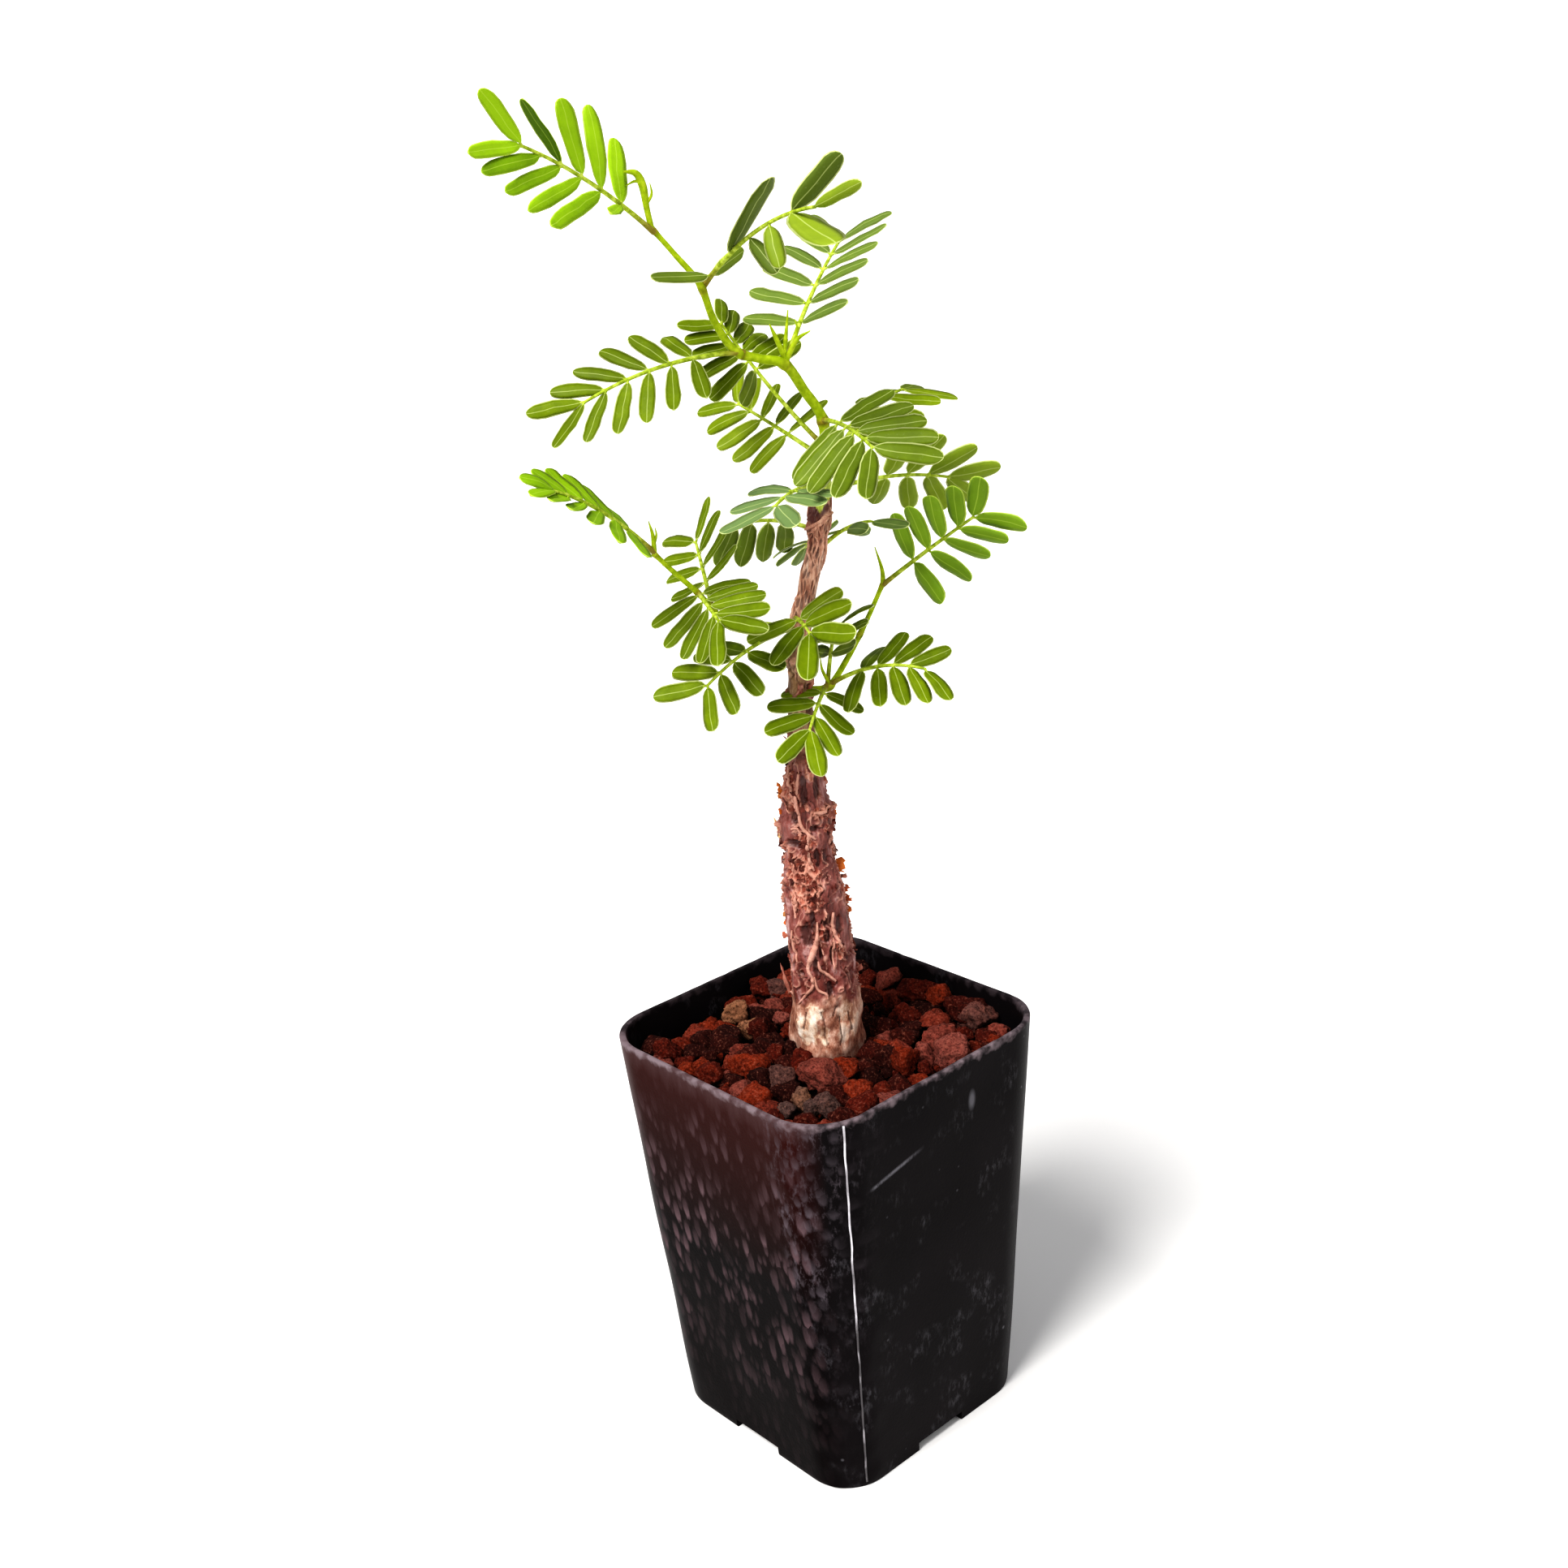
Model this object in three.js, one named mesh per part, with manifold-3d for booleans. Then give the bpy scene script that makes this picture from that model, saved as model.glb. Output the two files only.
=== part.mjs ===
// A young Senna meridionalis in a square nursery pot: a thick-footed woody trunk in lava gravel, three
// green stems and twenty-two feathery leaves. Millimetres, +Z up, origin under the middle of the pot.
import * as THREE from "three";
import { mergeVertices } from "three/addons/utils/BufferGeometryUtils.js";
import Module from "manifold-3d";

const wasm = await Module();
wasm.setup();
const { Manifold, Mesh } = wasm;

// Pot
const potHeight = 85;
const potRimWidth = 64; // across the flats
const potBaseWidth = 52.6;
const potCornerRadius = 11.4; // at the rim, narrowing with the taper
const potWall = 1.1;
const potFloorTop = 3.4;
const footHeight = 2; // the corner feet and the middle pad stand this far below the floor
const footGap = 12.6; // width of the notch between two corner feet
const padWidth = 9; // the square middle pad
const drainRadius = 3;

// Gravel
const gravelDepth = 6; // from the rim down to the gravel
const stoneSize = 7.6; // across a middling stone
const stoneSpacing = 8.2;

// Plant
const plantTurn = 49; // degrees: its flat spread runs along the pot's diagonal
const fit = 0.3; // gap left between neighbours that touch
const leafletWidth = 3.1;
const bladeThickness = 0.6;
const rachisWidth = 0.9;
const leafletTilt = 16; // degrees about its length, so that neighbours pass like shingles

// The trunk: [height above the gravel, radius], and the middle line that it follows, [sideways, height].
const trunkRadii = [
  [-24, 2.5], [-12, 6.4], [0, 7.3], [12, 6.6], [24, 5.7], [34, 5.1], [42, 4.3], [49, 4.4],
  [56, 3.5], [63, 2.7], [72, 2.3], [86, 2], [96, 2.2], [107, 2.4], [112, 1.8], [118, 1.3],
];
const trunkMiddle = [
  [0.5, -24], [0.5, 12], [0, 45], [-0.1, 68], [0.3, 82], [2.4, 91], [5.5, 102], [7.4, 118],
];

// Points are [sideways, away, height above the gravel], in the plant's own turned frame.
const mainShoot = {
  route: [
    [7.3, 0, 114], [7.8, 0, 122.6], [4.7, -2, 128.7], [1.7, -5, 133.6], [-2.6, -6.5, 135.1],
    [-6.6, -8, 136.9], [-9.6, -10, 142.2], [-11.4, -12, 148.4], [-14.9, -13, 153.3], [-18.3, -14, 157.8],
  ],
  radii: [1.2, 0.55],
  buds: [
    [[-18.3, -14, 157.4], [-18.8, -14, 161], [-19.2, -14.2, 165.6], [-21.7, -15, 166.6]],
    [[2, -5, 134.2], [0.6, -6, 138], [-0.4, -6.5, 140.6]],
    [[2, -5, 134.2], [4, -6, 137.6], [6.4, -6.5, 139]],
  ],
};
const leftBranch = {
  route: [
    [0.6, 0, 86], [-7, -1, 87.6], [-12.4, -2, 89.2], [-16.9, -5, 95.3], [-20.5, -6.5, 99.5],
    [-23.6, -8, 103.4],
  ],
  radii: [0.6, 0.55],
  buds: [[[-23.5, -8, 103], [-23.4, -8.2, 106.4], [-23.9, -8.4, 109.2]]],
};
const rightBranch = {
  route: [
    [0.2, 0, 74.1], [5.1, 0.5, 73.9], [6.9, 1, 75.4], [10.5, 3, 80.2], [13.9, 5, 85.6], [17, 6, 91.4],
  ],
  radii: [0.8, 0.55],
  buds: [[[17, 6, 91], [17, 6, 94], [15.9, 6, 98.4]]],
};
const budRadii = [0.5, 0.3];
// Thin roots that run down the front of the foot, forking.
const surfaceRoots = [
  [[-0.6, -5.6, 31], [-1, -6.4, 22], [-1.8, -6.9, 16.4], [-4.6, -6.2, 12.6]],
  [[-1.2, -6.3, 20.6], [0.4, -6.8, 17.6], [2.6, -6.7, 16.4]],
  [[1.4, -5.4, 27], [2, -5.9, 21.6], [4.4, -5, 18]],
];

// One leaf: its petiole leaves the stem at "from", its rachis ends at "to". rise arches it upwards, roll
// turns its upper face about the rachis and twist adds a turn at the first pair that fades towards the last.
// petiole is the bare share of the length. leaflet, splay and fold give the leaflets' length, their angle to
// the rachis (first pair, last pair) and how far they fold up out of the flat. tilt is a leaf's own turn of
// its leaflets about their length. lost lists the leaflets that have dropped, by the number of their pair,
// minus for the left-hand one.
const leaves = [
  { name: "leaf_crown", from: [-18, -14, 157.2], to: [-36.1, -30.3, 171.9],
    rise: 1.3, roll: -94, twist: 49, petiole: 0.25, pairs: 6,
    leaflet: [12, 10.7], splay: [59, 26], fold: 10, lost: [5], young: true },
  { name: "leaf_front_top", from: [-10.8, -11, 148], to: [7.2, -42, 160.2],
    rise: 2.5, roll: -117, twist: 130, petiole: 0.08, pairs: 6,
    leaflet: [8.1, 10.8], splay: [87, 22], fold: 14, tilt: -50, lost: [2, 4, -2, -6] },
  { name: "leaf_back_top", from: [1.7, -4.4, 133.4], to: [13.4, 15, 152],
    rise: 1.4, roll: 0, twist: -10, petiole: 0.28, pairs: 6,
    leaflet: [11.6, 10.4], splay: [86, 54], fold: 12 },
  { name: "leaf_left", from: [-5, -7.6, 136.4], to: [-32, -19.5, 131.6],
    rise: 1.9, roll: -42, twist: 15, petiole: 0.32, pairs: 6,
    leaflet: [10.2, 9.8], splay: [82, 26], fold: -9 },
  { name: "leaf_behind_shoot", from: [7.4, 0.6, 118.6], to: [-8.8, 5.5, 140.4],
    rise: -1, roll: -28, twist: -80, petiole: 0.66, pairs: 6,
    leaflet: [10, 7.8], splay: [103, 57], fold: -20 },
  { name: "leaf_low_left", from: [7.2, 0.8, 116.4], to: [-7, 18.5, 124.4],
    rise: 0.2, roll: -38, twist: 0, petiole: 0.4, pairs: 5,
    leaflet: [9.8, 9.4], splay: [84, 38], fold: -10 },
  { name: "leaf_fan", from: [7.8, -0.4, 123], to: [14.7, -23.4, 121.3],
    rise: 1.1, roll: 24, twist: 10, petiole: 0.33, pairs: 5,
    leaflet: [12.6, 13], splay: [103, 34], fold: -15 },
  { name: "leaf_back_right", from: [7.6, 0.6, 113.6], to: [22.8, 9.4, 125.9],
    rise: 2.6, roll: 6, twist: 30, petiole: 0.37, pairs: 4,
    leaflet: [10.8, 10], splay: [76, 37], fold: -24, lost: [-1] },
  { name: "leaf_right", from: [6.9, 0.6, 110], to: [30.6, 12, 109],
    rise: 1.5, roll: -55, twist: 12, petiole: 0.5, pairs: 4,
    leaflet: [9.6, 11.2], splay: [87, 24], fold: 1 },
  { name: "leaf_low_right", from: [17, 6, 91.2], to: [33.4, -2, 104.2],
    rise: 0.2, roll: -66, twist: -35, petiole: 0.34, pairs: 5,
    leaflet: [9.8, 9.6], splay: [77, 42], fold: -12 },
  { name: "leaf_pale", from: [6.2, -0.8, 111.6], to: [-1.8, -16.5, 111.7],
    rise: 1.1, roll: 7, twist: -8, petiole: 0.58, pairs: 3,
    leaflet: [8.5, 11.8], splay: [88, 38], fold: -2 },
  { name: "leaf_hanging", from: [5.4, 1, 103.2], to: [-9.3, 8.2, 103.9],
    rise: 1.4, roll: 68, twist: -16, petiole: 0.37, pairs: 4,
    leaflet: [10, 10.2], splay: [73, 43], fold: 5, lost: [-1, -2, -3, -4] },
  { name: "leaf_left_tip", from: [-23.5, -8, 103.6], to: [-38, -23, 118.3],
    rise: 1.6, roll: -36, twist: 8, petiole: 0.25, pairs: 6,
    leaflet: [10, 6.8], splay: [78, 19], fold: -2, young: true },
  { name: "leaf_mid_left", from: [-14.4, -3.2, 91.6], to: [-16.8, 10.5, 101],
    rise: 0.3, roll: -48, twist: 0, petiole: 0.36, pairs: 4,
    leaflet: [9, 9.6], splay: [80, 44], fold: 4 },
  { name: "leaf_behind_trunk", from: [4.9, 0.8, 100.4], to: [3.6, 14, 97.7],
    rise: 1.2, roll: -30, twist: 16, petiole: 0.4, pairs: 3,
    leaflet: [7.7, 9.4], splay: [98, 14], fold: -1 },
  { name: "leaf_thin_right", from: [5, 0.8, 99.2], to: [15.2, 1, 104.2],
    rise: 1.3, roll: -14, twist: 0, petiole: 0.58, pairs: 2,
    leaflet: [9.4, 9.8], splay: [71, 52], fold: -14, lost: [-2] },
  { name: "leaf_fan_left", from: [-16.6, -4.8, 95], to: [-13.1, -16, 92.5],
    rise: 0, roll: 34, twist: -15, petiole: 0.06, pairs: 5,
    leaflet: [10, 11.5], splay: [92, 28], fold: -12 },
  { name: "leaf_low_left_front", from: [0.6, -0.8, 86.2], to: [-16.4, -12.6, 79.8],
    rise: 1.7, roll: -17, twist: 13, petiole: 0.56, pairs: 4,
    leaflet: [9.5, 10.2], splay: [90, 50], fold: -8 },
  { name: "leaf_front_fan", from: [0.4, -0.8, 88], to: [2.5, -10.6, 87.6],
    rise: 0.4, roll: 35, twist: -13, petiole: 0.26, pairs: 3,
    leaflet: [9.2, 10.8], splay: [87, 35], fold: 8 },
  { name: "leaf_bottom", from: [5.1, 0.2, 74.4], to: [1.2, -15.4, 71.2],
    rise: 0.5, roll: -23, twist: 10, petiole: 0.2, pairs: 4,
    leaflet: [8.2, 10.6], splay: [94, 22], fold: -16 },
  { name: "leaf_right_bottom", from: [6, 0.6, 74.6], to: [22.8, -9.6, 79],
    rise: 1.9, roll: 34, twist: -16, petiole: 0.34, pairs: 5,
    leaflet: [11, 8], splay: [91, 30], fold: -10, lost: [-5] },
  { name: "leaf_behind_fan", from: [5.4, 0.6, 74.4], to: [8, 5.6, 84],
    rise: 1.7, roll: -31, twist: -12, petiole: 0.4, pairs: 3,
    leaflet: [10.2, 9.2], splay: [84, 77], fold: -2 },
];

const colours = {
  pot: 0x1d1c1f, gravel: 0x7a3327, bark: 0x7c4a3c, stem: 0x9aa83a, leaf: 0x5c7d2c, youngLeaf: 0x93b52b,
};

const radians = THREE.MathUtils.degToRad;
const vector = (p) => new THREE.Vector3(...p);

// A number from 0 to 1 that is always the same for the same seed.
function chance(seed) {
  const x = Math.sin(seed * 12.9898) * 43758.5453;
  return x - Math.floor(x);
}

// A small repeatable swing between -1 and 1 for leaflet number i on one side of leaf number k.
const sway = (k, i, side) => Math.sin(k * 2.4 + i * 5.1 + side * 1.7);

// The value at x of a list of [x, value] pairs, running straight between them and on past the ends.
function along(pairs, x) {
  const before = pairs.slice(1, -1).filter(([at]) => at < x).length;
  const [[x0, v0], [x1, v1]] = pairs.slice(before, before + 2);
  return THREE.MathUtils.lerp(v0, v1, (x - x0) / (x1 - x0));
}

// Geometry to solid and back. Only positions are kept, with shared corners merged.
function solidOf(geometry) {
  const bare = new THREE.BufferGeometry();
  bare.setAttribute("position", geometry.getAttribute("position"));
  bare.setIndex(geometry.index);
  const merged = mergeVertices(bare, 1e-4);
  const vertProperties = merged.getAttribute("position").array;
  const triVerts = new Uint32Array(merged.index.array);
  return new Manifold(new Mesh({ numProp: 3, vertProperties, triVerts }));
}

function geometryOf(solid) {
  const { vertProperties, triVerts } = solid.getMesh();
  return new THREE.BufferGeometry()
    .setAttribute("position", new THREE.BufferAttribute(vertProperties, 3))
    .setIndex(new THREE.BufferAttribute(triVerts, 1));
}

const fuse = (solids) => solids.reduce((all, one) => all.add(one));

// Keeps the main body where a cut has left scraps.
function mainBody(solid) {
  return solid.decompose().reduce((a, b) => (a.volume() > b.volume() ? a : b));
}

function node(name, solid, colour, roughness) {
  const geometry = geometryOf(solid);
  geometry.computeVertexNormals();
  const mesh = new THREE.Mesh(
    geometry,
    new THREE.MeshStandardMaterial({ color: colour, roughness, metalness: 0, flatShading: true }),
  );
  mesh.name = name;
  return mesh;
}

// A closed skin over a stack of rings that all have the same number of points, each running anticlockwise
// as seen from the last ring.
function skin(rings) {
  const sides = rings[0].length;
  const points = rings.flat();
  const faces = [];
  for (let r = 0; r < rings.length - 1; r++)
    for (let s = 0; s < sides; s++) {
      const [a, b] = [r * sides + s, r * sides + ((s + 1) % sides)];
      faces.push(a, b, b + sides, a, b + sides, a + sides);
    }
  const last = (rings.length - 1) * sides;
  for (let s = 1; s < sides - 1; s++) faces.push(0, s + 1, s, last, last + s, last + s + 1);
  return new THREE.BufferGeometry().setFromPoints(points).setIndex(faces);
}

// A round tube along a smooth curve through the points, its radius running evenly from the first to the
// second. spare makes it that much fatter and longer all round, to cut a neighbour clear of it.
function tube(points, radii, sides, spare = 0) {
  const curve = new THREE.CatmullRomCurve3(points.map(vector), false, "centripetal");
  const steps = Math.max(2, Math.round(curve.getLength() / 5));
  const { normals, binormals, tangents } = curve.computeFrenetFrames(steps, false);
  const rings = tangents.map((tangent, i) => {
    const middle = curve.getPointAt(i / steps);
    if (i === 0) middle.addScaledVector(tangent, -spare);
    if (i === steps) middle.addScaledVector(tangent, spare);
    const radius = THREE.MathUtils.lerp(radii[0], radii[1], i / steps) + spare;
    return Array.from({ length: sides }, (_, s) => {
      const angle = (2 * Math.PI * s) / sides;
      return middle
        .clone()
        .addScaledVector(normals[i], radius * Math.cos(angle))
        .addScaledVector(binormals[i], radius * Math.sin(angle));
    });
  });
  return solidOf(skin(rings));
}

function roundedSquare(width, radius) {
  const h = width / 2;
  const shape = new THREE.Shape();
  for (let corner = 0; corner < 4; corner++) {
    const turn = (corner * Math.PI) / 2;
    const middle = new THREE.Vector2(h - radius, h - radius).rotateAround(new THREE.Vector2(), turn);
    shape.absarc(middle.x, middle.y, radius, turn, turn + Math.PI / 2, false);
  }
  return shape;
}

// The pot's tapered form between two heights, drawn in from the outside by inset.
function potForm(inset, bottom, top) {
  const widthAt = (z) => THREE.MathUtils.lerp(potBaseWidth, potRimWidth, z / potHeight);
  const shape = roundedSquare(potRimWidth, potCornerRadius);
  const settings = { depth: top - bottom, bevelEnabled: false, curveSegments: 6 };
  const geometry = new THREE.ExtrudeGeometry(shape, settings);
  const position = geometry.getAttribute("position");
  for (let i = 0; i < position.count; i++) {
    const z = position.getZ(i) + bottom;
    const scale = (widthAt(z) - 2 * inset) / potRimWidth;
    position.setXYZ(i, position.getX(i) * scale, position.getY(i) * scale, z);
  }
  return solidOf(geometry);
}

function boxAt(width, depth, height, x, y, z) {
  return solidOf(new THREE.BoxGeometry(width, depth, height).translate(x, y, z));
}

function pot() {
  const over = 1; // how far a cutter runs past the face that it cuts
  let body = potForm(0, 0, potHeight).subtract(potForm(potWall, potFloorTop, potHeight + over));
  const [inner, outer] = [padWidth / 2, potBaseWidth / 2 + over];
  const middle = (inner + outer) / 2;
  for (const [dx, dy] of [[1, 0], [-1, 0], [0, 1], [0, -1]]) {
    const [w, d] = dx ? [outer - inner, footGap] : [footGap, outer - inner];
    body = body.subtract(boxAt(w, d, footHeight + over, dx * middle, dy * middle, (footHeight - over) / 2));
    const drain = new THREE.CylinderGeometry(drainRadius, drainRadius, potFloorTop + 2 * over, 12);
    drain.rotateX(Math.PI / 2).translate(dx * middle, dy * middle, potFloorTop / 2);
    body = body.subtract(solidOf(drain));
  }
  return body;
}

// One angular lump of lava: a twenty-faced ball with every corner pushed in or out.
function stone(seed, size, x, y, z) {
  const geometry = new THREE.IcosahedronGeometry(size / 2, 0);
  const position = geometry.getAttribute("position");
  const stretch = new THREE.Vector3(1 + 0.35 * chance(seed + 0.1), 1, 0.75 + 0.2 * chance(seed + 0.2));
  const corner = new THREE.Vector3();
  for (let i = 0; i < position.count; i++) {
    corner.fromBufferAttribute(position, i);
    const push = 0.78 + 0.4 * chance(seed + corner.x * 3.1 + corner.y * 7.3 + corner.z * 1.7);
    corner.multiplyScalar(Number(push.toFixed(3))).multiply(stretch);
    position.setXYZ(i, corner.x, corner.y, corner.z);
  }
  geometry.rotateX(chance(seed + 0.3) - 0.5).rotateZ(2 * Math.PI * chance(seed + 0.4)).translate(x, y, z);
  return solidOf(geometry);
}

// The gravel fills the pot, with a layer of loose lumps as its top.
function gravel(trunkHole) {
  const surface = potHeight - gravelDepth;
  const bed = potForm(potWall + fit, potFloorTop + fit, surface - 0.25 * stoneSize);
  const room = potRimWidth / 2 - potWall - 0.75 * stoneSize;
  const cells = Math.round((2 * room) / stoneSpacing) + 1;
  const placeOf = (cell) => room * ((2 * cell) / (cells - 1) - 1);
  const stones = [];
  for (let row = 0; row < cells; row++)
    for (let column = 0; column < cells; column++) {
      const seed = row * cells + column + 1;
      const stray = (shift) => 0.45 * stoneSpacing * (chance(seed + shift) - 0.5);
      const place = new THREE.Vector2(placeOf(column), placeOf(row));
      if (place.manhattanLength() > 2 * room - 1) place.multiplyScalar(0.9); // in from the round corner
      const size = stoneSize * (0.8 + 0.4 * chance(seed + 0.7));
      const height = surface - 0.2 * stoneSize + 1.6 * (chance(seed + 0.9) - 0.5);
      stones.push(stone(seed, size, place.x + stray(0.5), place.y + stray(0.6), height));
    }
  const inside = potForm(potWall + fit, potFloorTop + fit, potHeight + stoneSize);
  return mainBody(fuse([bed, ...stones]).intersect(inside).subtract(trunkHole));
}

// The trunk, with lumpy bark raised by a formula. spare makes the fatter copy that cuts its neighbours
// clear.
function trunkForm(spare = 0) {
  const sides = 14;
  const step = 4.8;
  const [bottom, top] = [trunkRadii[0][0] - spare, trunkRadii.at(-1)[0] + spare];
  const levels = Math.round((top - bottom) / step);
  const rings = Array.from({ length: levels + 1 }, (_, level) => {
    const z = THREE.MathUtils.lerp(bottom, top, level / levels);
    const middle = along(trunkMiddle.map(([x, height]) => [height, x]), z);
    const radius = along(trunkRadii, z);
    return Array.from({ length: sides }, (_, s) => {
      const a = (2 * Math.PI * s) / sides;
      const ribs = 0.06 * Math.sin(3 * a + 0.11 * z);
      const lumps = 0.05 * Math.sin(5 * a - 0.23 * z) * Math.sin(0.4 * z + 2 * a);
      const r = radius * (1 + ribs + lumps) + spare;
      return new THREE.Vector3(middle + r * Math.cos(a), r * Math.sin(a), z);
    });
  });
  return solidOf(skin(rings));
}

function trunk(spare = 0) {
  return fuse([trunkForm(spare), ...surfaceRoots.map((route) => tube(route, [0.9, 0.6], 6, spare))]);
}

// A green stem with the buds that it bears.
function stem({ route, radii, buds }, spare = 0) {
  return fuse([tube(route, radii, 8, spare), ...buds.map((bud) => tube(bud, budRadii, 5, spare))]);
}

// A flat oblong leaflet with a narrow foot, lying along +X with its upper face towards +Z.
function leafletGeometry(length) {
  const half = leafletWidth / 2;
  const side = [[0.3, 0.3], [1.8, 0.8 * half], [0.76 * length, half], [length, 0.45 * half]];
  const outline = [...side.map(([x, y]) => [x, -y]), ...side.toReversed()];
  const shape = new THREE.Shape(outline.map(([x, y]) => new THREE.Vector2(x, y)));
  return new THREE.ExtrudeGeometry(shape, { depth: bladeThickness, bevelEnabled: false })
    .translate(0, 0, -bladeThickness / 2);
}

// The leaf's three directions at a share k of the way from its first pair to its last: along the rachis, up
// out of the upper face, and across to the right.
function leafFrame(curve, spec, k) {
  const share = THREE.MathUtils.lerp(spec.petiole, 0.985, k);
  const ahead = curve.getTangent(share);
  const up = new THREE.Vector3(0, 0, 1).addScaledVector(ahead, -ahead.z).normalize();
  up.applyAxisAngle(ahead, radians(spec.roll + spec.twist * (1 - k) ** 4));
  return { at: curve.getPoint(share), ahead, up, across: new THREE.Vector3().crossVectors(ahead, up) };
}

// Petiole and rachis in one: a square stalk whose flat sides carry the leaflets.
function rachis(curve, spec) {
  const corners = [[1, -1], [-1, -1], [-1, 1], [1, 1]];
  const ringAt = ({ across, up }, at, width) =>
    corners.map(([x, y]) =>
      at.clone().addScaledVector(across, (x * width) / 2).addScaledVector(up, (y * width) / 2));
  const first = leafFrame(curve, spec, 0);
  const rings = [ringAt(first, curve.getPoint(0), rachisWidth)];
  for (let i = 0; i < spec.pairs; i++) {
    const frame = leafFrame(curve, spec, i / (spec.pairs - 1));
    rings.push(ringAt(frame, frame.at, rachisWidth));
  }
  const last = leafFrame(curve, spec, 1);
  rings.push(ringAt(last, last.at.clone().addScaledVector(last.ahead, 1), 0.5 * rachisWidth));
  return solidOf(skin(rings));
}

function leaflet(spec, number, frame, i, side) {
  const k = i / (spec.pairs - 1);
  const swing = sway(number, i, side);
  const length = THREE.MathUtils.lerp(...spec.leaflet, k) * (1 + 0.05 * swing);
  const splay = radians(THREE.MathUtils.lerp(...spec.splay, k) + 3 * swing);
  const fold = radians(spec.fold);
  const { at, ahead, up, across } = frame;
  const outward = across.clone().multiplyScalar(side * Math.cos(fold)).addScaledVector(up, Math.sin(fold));
  const axis = ahead.clone().multiplyScalar(Math.cos(splay)).addScaledVector(outward, Math.sin(splay));
  const face = up.clone().addScaledVector(axis, -up.dot(axis)).normalize();
  const tilt = 4 * sway(number, i + 3, side) - side * (spec.tilt ?? leafletTilt);
  face.applyAxisAngle(axis, radians(tilt));
  const width = new THREE.Vector3().crossVectors(face, axis);
  const placing = new THREE.Matrix4().makeBasis(axis, width, face).setPosition(at);
  return solidOf(leafletGeometry(length).applyMatrix4(placing));
}

function leaf(spec, number, wood) {
  const [from, to] = [vector(spec.from), vector(spec.to)];
  const middle = from.clone().add(to).multiplyScalar(0.5);
  middle.z += 2 * spec.rise;
  const curve = new THREE.QuadraticBezierCurve3(from, middle, to);
  const parts = [rachis(curve, spec)];
  for (let i = 0; i < spec.pairs; i++) {
    const frame = leafFrame(curve, spec, i / (spec.pairs - 1));
    for (const side of [1, -1])
      if (!spec.lost?.includes(side * (i + 1))) parts.push(leaflet(spec, number, frame, i, side));
  }
  return mainBody(fuse(parts).subtract(wood));
}

// What the neighbours are cut clear of.
const trunkClearance = trunk(fit);
const wood = fuse([trunkClearance, ...[mainShoot, leftBranch, rightBranch].map((spec) => stem(spec, fit))]);

const plant = new THREE.Group();
plant.position.z = potHeight - gravelDepth;
plant.rotation.z = radians(plantTurn);
plant.add(
  node("trunk", trunk(), colours.bark, 0.8),
  node("main_shoot", mainBody(stem(mainShoot).subtract(trunkClearance)), colours.stem, 0.6),
  node("left_branch", mainBody(stem(leftBranch).subtract(trunkClearance)), colours.stem, 0.6),
  node("right_branch", mainBody(stem(rightBranch).subtract(trunkClearance)), colours.stem, 0.6),
);
leaves.forEach((spec, number) => {
  plant.add(node(spec.name, leaf(spec, number, wood), spec.young ? colours.youngLeaf : colours.leaf, 0.55));
});

const trunkHole = trunkClearance.rotate([0, 0, plantTurn]).translate([0, 0, plant.position.z]);
const potted = new THREE.Group();
potted.add(
  node("pot", pot(), colours.pot, 0.5),
  node("lava_gravel", gravel(trunkHole), colours.gravel, 0.9),
  plant,
);

export default potted;
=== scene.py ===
# A young Senna meridionalis in a square black nursery pot: lava gravel, a thick-footed woody trunk, three green
# stems and twenty-two feathery leaves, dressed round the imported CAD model. Sizes are in millimetres until a mesh
# is made, which is in metres.
import math
import random
from functools import reduce

import bpy
import numpy as np
from mathutils import Matrix, Vector, noise


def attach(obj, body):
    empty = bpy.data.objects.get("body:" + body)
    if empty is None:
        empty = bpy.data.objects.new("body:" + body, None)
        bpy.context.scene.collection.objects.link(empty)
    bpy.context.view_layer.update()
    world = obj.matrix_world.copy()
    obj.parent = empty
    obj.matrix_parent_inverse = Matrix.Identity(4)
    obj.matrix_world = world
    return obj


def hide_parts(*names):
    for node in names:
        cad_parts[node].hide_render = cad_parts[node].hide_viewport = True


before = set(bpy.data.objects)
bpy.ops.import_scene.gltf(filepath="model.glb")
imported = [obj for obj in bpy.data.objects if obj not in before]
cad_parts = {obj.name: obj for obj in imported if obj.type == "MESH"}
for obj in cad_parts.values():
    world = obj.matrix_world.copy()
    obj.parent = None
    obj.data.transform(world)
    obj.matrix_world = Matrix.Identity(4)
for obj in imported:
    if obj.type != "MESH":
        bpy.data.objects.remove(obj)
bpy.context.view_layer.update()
MM = 0.001
scene = bpy.context.scene

# ---- View ------------------------------------------------------------------------------------------------
# The camera looks at the pot's front corner from a little above its rim, turned slightly clockwise, with the
# whole plant in a square picture.
PICTURE = 1932  # pixels along a side
FOCAL = 2242.5  # pixels
SENSOR = 36.0

eye = bpy.data.objects.new("camera", bpy.data.cameras.new("camera"))
eye.data.sensor_width = SENSOR
eye.data.lens = SENSOR * FOCAL / PICTURE
eye.data.clip_start = 0.01
azimuth, elevation, roll = math.radians(48.98), math.radians(19.63), math.radians(-4.52)
eye.matrix_world = (
    Matrix.Translation((0.24002, -0.21417, 0.24972))
    @ Matrix.Rotation(azimuth, 4, "Z")
    @ Matrix.Rotation(math.pi / 2 - elevation, 4, "X")
    @ Matrix.Rotation(roll, 4, "Z")
)
scene.collection.objects.link(eye)
scene.camera = eye
scene.view_settings.view_transform = "Standard"
scene.view_settings.look = "High Contrast"


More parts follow.
